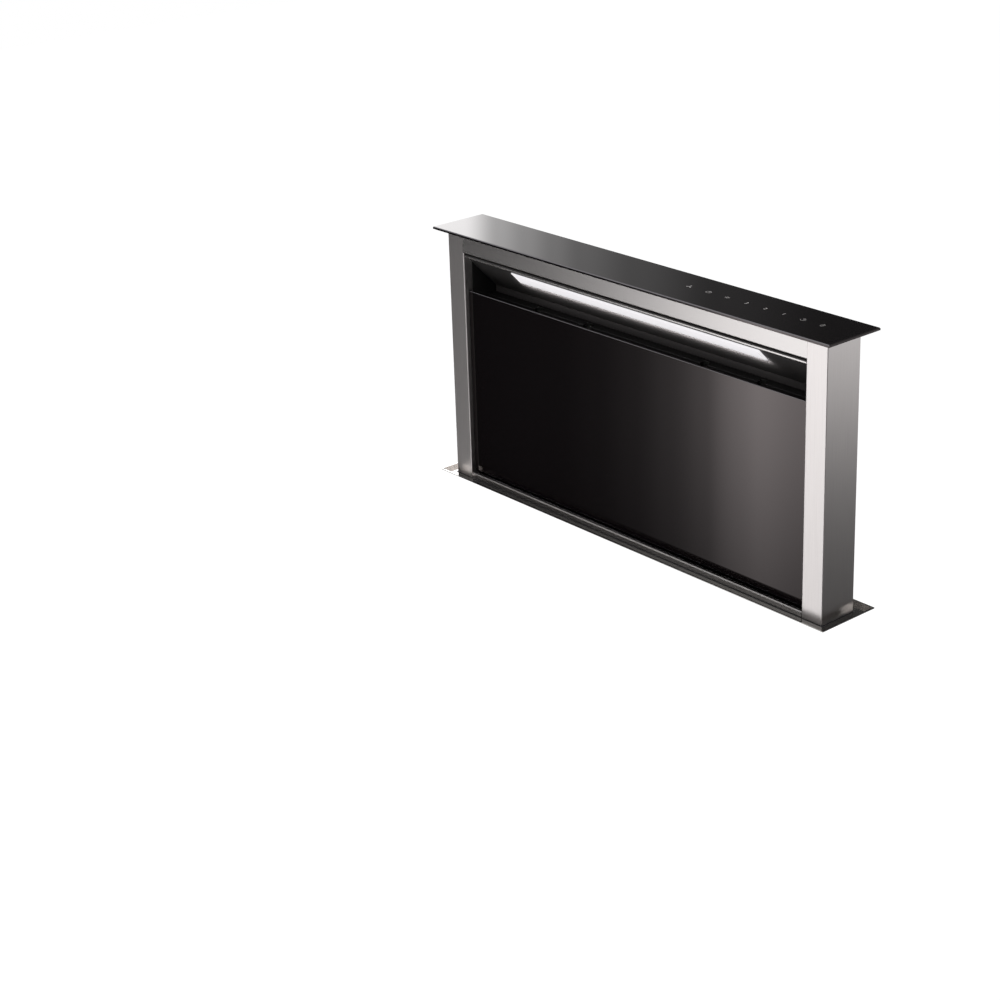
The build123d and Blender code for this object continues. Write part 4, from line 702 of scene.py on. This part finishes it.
# Column shell: stainless steel brushed along the length of each piece. The brush marks are finer than the render
# can show, so they are drawn 0.5 mm wide. They blur a reflection upwards and downwards on the faces to the front
# and back, and sideways on the faces to the sides.
for name, along, dullness, tints, nodes in (
    ("stainless_brushed_upright", (1.0, 1.0, 0.008), 0.28, ("D4CFCE", "DCD7D6"), ("left_post", "right_post")),
    ("stainless_brushed_lengthwise", (0.008, 1.0, 1.0), 0.25, ("C7C3C2", "CFCBCA"),
     ("top_rail", "lower_fascia", "back_panel", "panel_frame")),
):
    brushed, tree = begin(name)
    place = put(tree, "TexCoord", {})
    stretch = put(tree, "Mapping", {"Vector": place.outputs["Object"], "Scale": along})
    marks = put(tree, "TexNoise", {"Vector": stretch.outputs[0], "Scale": 1000 / 0.5, "Detail": 2.0,
                                   "Roughness": 0.5})
    tint = put(tree, "ValToRGB", {"Fac": marks.outputs["Fac"]})
    tint.color_ramp.elements[0].position = 0.3
    tint.color_ramp.elements[0].color = linear(tints[0])
    tint.color_ramp.elements[1].position = 0.7
    tint.color_ramp.elements[1].color = linear(tints[1])
    rub = put(tree, "MapRange", {"Value": marks.outputs["Fac"], "To Min": dullness - 0.01,
                                "To Max": dullness + 0.01})
    drawn = put(tree, "Tangent", {}, direction_type="RADIAL", axis="Z")
    wall_side = put(tree, "NewGeometry", {})
    facing = put(tree, "SeparateXYZ", {"Vector": wall_side.outputs["Normal"]})
    aside = put(tree, "Math", {0: facing.outputs["X"]}, operation="ABSOLUTE")
    quarter_turn = put(tree, "MapRange", {"Value": aside.outputs[0], "From Min": 0.6, "From Max": 0.8,
                                          "To Min": 0.25, "To Max": 0.0})
    shader = put(tree, "BsdfPrincipled", {"Base Color": tint.outputs["Color"], "Metallic": 1.0,
                                          "Roughness": rub.outputs[0], "Anisotropic": 0.9,
                                          "Anisotropic Rotation": quarter_turn.outputs[0],
                                          "Tangent": drawn.outputs[0]})
    put(tree, "OutputMaterial", {"Surface": shader.outputs[0]})
    dress(brushed, *nodes)

# Lip of the lamp plate: a narrow stainless strip, bonded to the black plate's front edge just below the rail.
strip_thickness, strip_end, strip_rounding = 0.0005, 0.0004, 0.00015
plate_low, plate_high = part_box("lamp_housing")
lip_heights = [v.co.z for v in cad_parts["lamp_housing"].data.vertices if v.co.y < plate_low.y + 0.0001]
deselect()
bpy.ops.mesh.primitive_cube_add(size=1.0)
lip_strip = bpy.context.object
lip_strip.scale = (plate_high.x - plate_low.x - 2 * strip_end, strip_thickness, max(lip_heights) - min(lip_heights))
lip_strip.location = (0.0, plate_low.y - strip_thickness / 2, (max(lip_heights) + min(lip_heights)) / 2)
settle(lip_strip, "lip_strip", brushed, "column")
soften(lip_strip, strip_rounding)

# Lamp plate, air liners, filter rails and the cap's carrier: folded sheet with black powder coat, in two copies of
# one paint. It is satin on the plate and the carrier, lightened to a grey that is painted sheen, and deeper and
# duller on the liners and rails, which are out of sight from most places, darkened to a black that is painted shade.
for name, tint, satin, nodes in (
    ("satin_black_powder_coat_painted_sheen", "302E2E", 0.34, ("lamp_housing", "cap_carrier")),
    ("dull_black_powder_coat_painted_shade", "0E0D0D", 0.5, ("duct_liners", "filter_rails")),
):
    powder, tree = begin(name)
    place = put(tree, "TexCoord", {})
    peel = put(tree, "TexNoise", {"Vector": place.outputs["Object"], "Scale": 1000 / 2.0, "Detail": 2.0})
    relief = put(tree, "Bump", {"Strength": 0.12, "Distance": 0.0001, "Height": peel.outputs["Fac"]})
    rub = put(tree, "MapRange", {"Value": peel.outputs["Fac"], "To Min": satin, "To Max": satin + 0.12})
    # tint: the black paint lightened by painted sheen on the plate and carrier, and darkened by painted shade on the
    # liners and rails
    shader = put(tree, "BsdfPrincipled", {"Base Color": linear(tint), "Roughness": rub.outputs[0], "IOR": 1.5,
                                          "Normal": relief.outputs[0]})
    put(tree, "OutputMaterial", {"Surface": shader.outputs[0]})
    dress(powder, *nodes)

# Light lens: opal acrylic, lit from behind as the vent's lamp. Its light fades over the last 7 mm before the lower
# rim, a painted glow that stands for the light the lens throws on the plate below.
opal, tree = begin("lit_opal_acrylic")
place = put(tree, "TexCoord", {})
even = put(tree, "TexNoise", {"Vector": place.outputs["Object"], "Scale": 1000 / 40, "Detail": 1.0})
warm = put(tree, "ValToRGB", {"Fac": even.outputs["Fac"]})
warm.color_ramp.elements[0].color = linear("F2EFF2")
warm.color_ramp.elements[1].color = linear("FAF7F9")
lens_width, lens_depth, lens_slope = 0.0306, 0.012, radians(46)
unlit_rim, painted_glow_fade = 0.0006, 0.0068
lens_low, lens_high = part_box("light_lens")
lens_middle = (lens_low + lens_high) / 2
spot = put(tree, "VectorMath", {0: place.outputs["Object"], 1: lens_middle}, operation="SUBTRACT")
uphill = put(tree, "VectorMath", {0: spot.outputs[0], 1: (0.0, -cos(lens_slope), sin(lens_slope))},
             operation="DOT_PRODUCT")
# painted glow: the lamp's light dims towards the lower rim, standing in for the light the lens throws on the plate
lamp_light_and_painted_glow = put(tree, "MapRange", {"Value": uphill.outputs["Value"], "From Min": unlit_rim - lens_width / 2,
                                    "From Max": unlit_rim + painted_glow_fade - lens_width / 2,
                                    "To Min": 0.2, "To Max": 0.72}, interpolation_type="SMOOTHSTEP")
shader = put(tree, "BsdfPrincipled", {"Base Color": linear("9A9A9C"), "Roughness": 0.4, "IOR": 1.49,
                                      "Emission Color": warm.outputs["Color"],
                                      "Emission Strength": lamp_light_and_painted_glow.outputs[0]})
put(tree, "OutputMaterial", {"Surface": shader.outputs[0]})
dress(opal, "light_lens")

# Light lens: a long opal acrylic moulding that clips into the lamp plate from behind. Its lit face stands a little
# proud of the plate and is crowned, with rounded rims, so that it throws some light along the plate.
deselect()
bpy.ops.mesh.primitive_cube_add(size=1.0)
lens = bpy.context.object
lens.scale = (lens_high.x - lens_low.x, lens_width, lens_depth)
bpy.ops.object.transform_apply(scale=True)
bpy.ops.object.mode_set(mode="EDIT")
for rim, rise in ((0.0012, 0.0007), (0.003, 0.0004), (0.005, 0.0002)):
    pick_faces(lambda middle, normal: normal.z < -0.9 and abs(middle.y) < lens_width / 4)
    bpy.ops.mesh.inset(thickness=rim)
    bpy.ops.transform.translate(value=(0, 0, -rise))
bpy.ops.object.mode_set(mode="OBJECT")
lens.rotation_euler.x = -lens_slope
lens.location = lens_middle
settle(lens, "light_lens_crowned", opal, "column")
soften(lens, 0.0004)
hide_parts("light_lens")

# The lens's own light on the plate, strongest along the lens's lower rim.
glow_width, glow_stand_off = 0.002, 0.006
lens_glow = bpy.data.lights.new("lens_glow", "AREA")
lens_glow.shape = "RECTANGLE"
lens_glow.size, lens_glow.size_y = lens_high.x - lens_low.x, glow_width
lens_glow.energy = 0.75
glow_strip = bpy.data.objects.new("lens_glow", lens_glow)
downhill = Vector((0.0, cos(lens_slope), -sin(lens_slope)))
outward = Vector((0.0, -sin(lens_slope), -cos(lens_slope)))
glow_strip.location = lens_middle + downhill * lens_width / 2 + outward * (lens_depth / 2 + glow_stand_off)
glow_strip.rotation_euler = (-outward).to_track_quat("-Z", "Y").to_euler()
lit_plate = bpy.data.collections.new("lit_plate")
lit_plate.objects.link(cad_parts["lamp_housing"])
glow_strip.light_linking.receiver_collection = lit_plate
glow_strip.visible_camera = glow_strip.visible_glossy = False
bpy.context.scene.collection.objects.link(glow_strip)

# Cap and front panel: toughened glass with a warm black underside. Its faces and edges are polished, and the
# bevels along its long edges are ground to a satin grey.
black_glass, tree = begin("black_backed_glass")
side = put(tree, "NewGeometry", {})
facing = put(tree, "SeparateXYZ", {"Vector": side.outputs["Normal"]})
up = put(tree, "Math", {0: facing.outputs["Z"]}, operation="ABSOLUTE")
front = put(tree, "Math", {0: facing.outputs["Y"]}, operation="ABSOLUTE")
flat = put(tree, "Math", {0: up.outputs[0], 1: front.outputs[0]}, operation="MAXIMUM")
slanted = put(tree, "Math", {0: flat.outputs[0], 1: 0.9}, operation="LESS_THAN")
lesser = put(tree, "Math", {0: up.outputs[0], 1: front.outputs[0]}, operation="MINIMUM")
raised = put(tree, "Math", {0: lesser.outputs[0], 1: 0.3}, operation="GREATER_THAN")
ground = put(tree, "Math", {0: slanted.outputs[0], 1: raised.outputs[0]}, operation="MULTIPLY")
face = put(tree, "Mix", {"Factor": ground.outputs[0], "A": linear("080607"), "B": linear("58575A")},
           data_type="RGBA")
gloss = put(tree, "MapRange", {"Value": ground.outputs[0], "To Min": 0.03, "To Max": 0.2})
shader = put(tree, "BsdfPrincipled", {"Base Color": face.outputs["Result"], "Roughness": gloss.outputs[0],
                                      "IOR": 1.52, "Specular IOR Level": 0.45, "Specular Tint": linear("FFEEED")})
put(tree, "OutputMaterial", {"Surface": shader.outputs[0]})
dress(black_glass, "cap_glass", "glass_panel")

# Touch symbols: pale grey ceramic print fired onto the cap glass above the touch board, thinner than a hair. From
# the left: fan, timer, lamp, speeds 3, 2 and 1, on and off, and up and down.
ceramic, tree = begin("fired_ceramic_print")
place = put(tree, "TexCoord", {})
speck = put(tree, "TexNoise", {"Vector": place.outputs["Object"], "Scale": 1000 / 0.8, "Detail": 1.0})
pale = put(tree, "ValToRGB", {"Fac": speck.outputs["Fac"]})
pale.color_ramp.elements[0].color = linear("8D8A89")
pale.color_ramp.elements[1].color = linear("A3A09F")
shader = put(tree, "BsdfPrincipled", {"Base Color": pale.outputs["Color"], "Roughness": 0.5, "IOR": 1.5})
put(tree, "OutputMaterial", {"Surface": shader.outputs[0]})

print_line, print_height = 0.0006, 0.00006
print_from_front, digit_size = 0.059, 0.0100
glass_low, glass_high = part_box("cap_glass")
symbol_y = glass_low.y + print_from_front
fan_x, timer_x, lamp_x, three_x, two_x, one_x, power_x, lift_x = (
    0.1086, 0.1493, 0.1880, 0.2271, 0.2648, 0.3013, 0.3383, 0.3755)


def print_ring(x, radius, gap=0.0):
    """Ring of one print line round a symbol's middle, open at the back by a gap given in turns."""
    bpy.ops.object.select_all(action="DESELECT")
    bpy.ops.mesh.primitive_plane_add(size=print_line)
    bpy.ops.object.mode_set(mode="EDIT")
    bpy.ops.transform.translate(value=(radius, 0, 0))
    bpy.ops.transform.resize(value=(1, 0, 1))
    bpy.ops.mesh.remove_doubles(threshold=0.00001)
    bpy.ops.mesh.select_all(action="SELECT")
    bpy.ops.mesh.spin(steps=28, angle=2 * pi * (1 - gap), center=(0, 0, 0), axis=(0, 0, 1))
    bpy.ops.mesh.select_all(action="SELECT")
    bpy.ops.mesh.remove_doubles(threshold=0.00001)
    bpy.ops.object.mode_set(mode="OBJECT")
    bpy.context.object.rotation_euler.z = pi / 2 + pi * gap
    bpy.context.object.location = (x, symbol_y, 0.0)
    marks.append(bpy.context.object)


def print_bar(x, y, length, width, turn=0.0, taper=1.0):
    """Straight bar, or with a taper a wedge that narrows towards its far end."""
    bpy.ops.object.select_all(action="DESELECT")
    bpy.ops.mesh.primitive_plane_add(size=1.0)
    bar = bpy.context.object
    bpy.ops.object.mode_set(mode="EDIT")
    shape = bmesh.from_edit_mesh(bar.data)
    for corner in shape.verts:
        corner.co.x *= length
        corner.co.y *= width * (taper if corner.co.x > 0 else 1.0)
    bmesh.update_edit_mesh(bar.data)
    bpy.ops.object.mode_set(mode="OBJECT")
    bar.rotation_euler.z = turn
    bar.location = (x, symbol_y + y, 0.0)
    marks.append(bar)


marks = []
# fan: three blades that widen outwards
blade_middle, blade_length, blade_width, blade_taper = 0.0028, 0.0042, 0.0026, 0.25
for third in range(3):
    turn = pi / 2 + third * 2 * pi / 3
    print_bar(fan_x + blade_middle * cos(turn), blade_middle * sin(turn), blade_length, blade_width, turn + pi,
              blade_taper)
# timer: a dial with a long and a short hand
long_hand, short_hand = 0.0026, 0.002
print_ring(timer_x, 0.0042)
print_bar(timer_x, long_hand / 2, long_hand, print_line, pi / 2)
print_bar(timer_x + short_hand / 2, 0.0, short_hand, print_line)
# lamp: a ring with six rays
ray_middle, ray_length = 0.0037, 0.0015
print_ring(lamp_x, 0.0019)
for sixth in range(6):
    turn = sixth * pi / 3
    print_bar(lamp_x + ray_middle * cos(turn), ray_middle * sin(turn), ray_length, print_line, turn)
# on and off: an open ring with a bar in the gap
print_ring(power_x, 0.0040, gap=0.17)
print_bar(power_x, 0.0030, 0.0042, print_line, pi / 2)
# up and down: a line between two arrow heads
arrow_side, arrow_end, arrow_length, between_arrows = 0.0014, 0.0034, 0.0042, 0.0062
for end in (-1, 1):
    for side in (-1, 1):
        print_bar(lift_x + side * arrow_side, end * arrow_end, arrow_length, print_line, -side * end * pi / 4)
print_bar(lift_x, 0.0, between_arrows, print_line)
for x, digit in ((three_x, "3"), (two_x, "2"), (one_x, "1")):
    bpy.ops.object.select_all(action="DESELECT")
    bpy.ops.object.text_add(location=(x, symbol_y, 0.0))
    number = bpy.context.object
    number.data.body = digit
    number.data.size = digit_size
    number.data.align_x = number.data.align_y = "CENTER"
    bpy.ops.object.convert(target="MESH")
    marks.append(bpy.context.object)
symbols = join(marks)
bpy.ops.object.mode_set(mode="EDIT")
bpy.ops.mesh.select_all(action="SELECT")
bpy.ops.mesh.normals_make_consistent(inside=False)
bpy.ops.object.mode_set(mode="OBJECT")
film = symbols.modifiers.new("film", "SOLIDIFY")
film.thickness = 2 * print_height
film.offset = 0.0
bpy.ops.object.modifier_apply(modifier=film.name)
symbols.location.z = glass_high.z
settle(symbols, "touch_symbols", ceramic, "column")
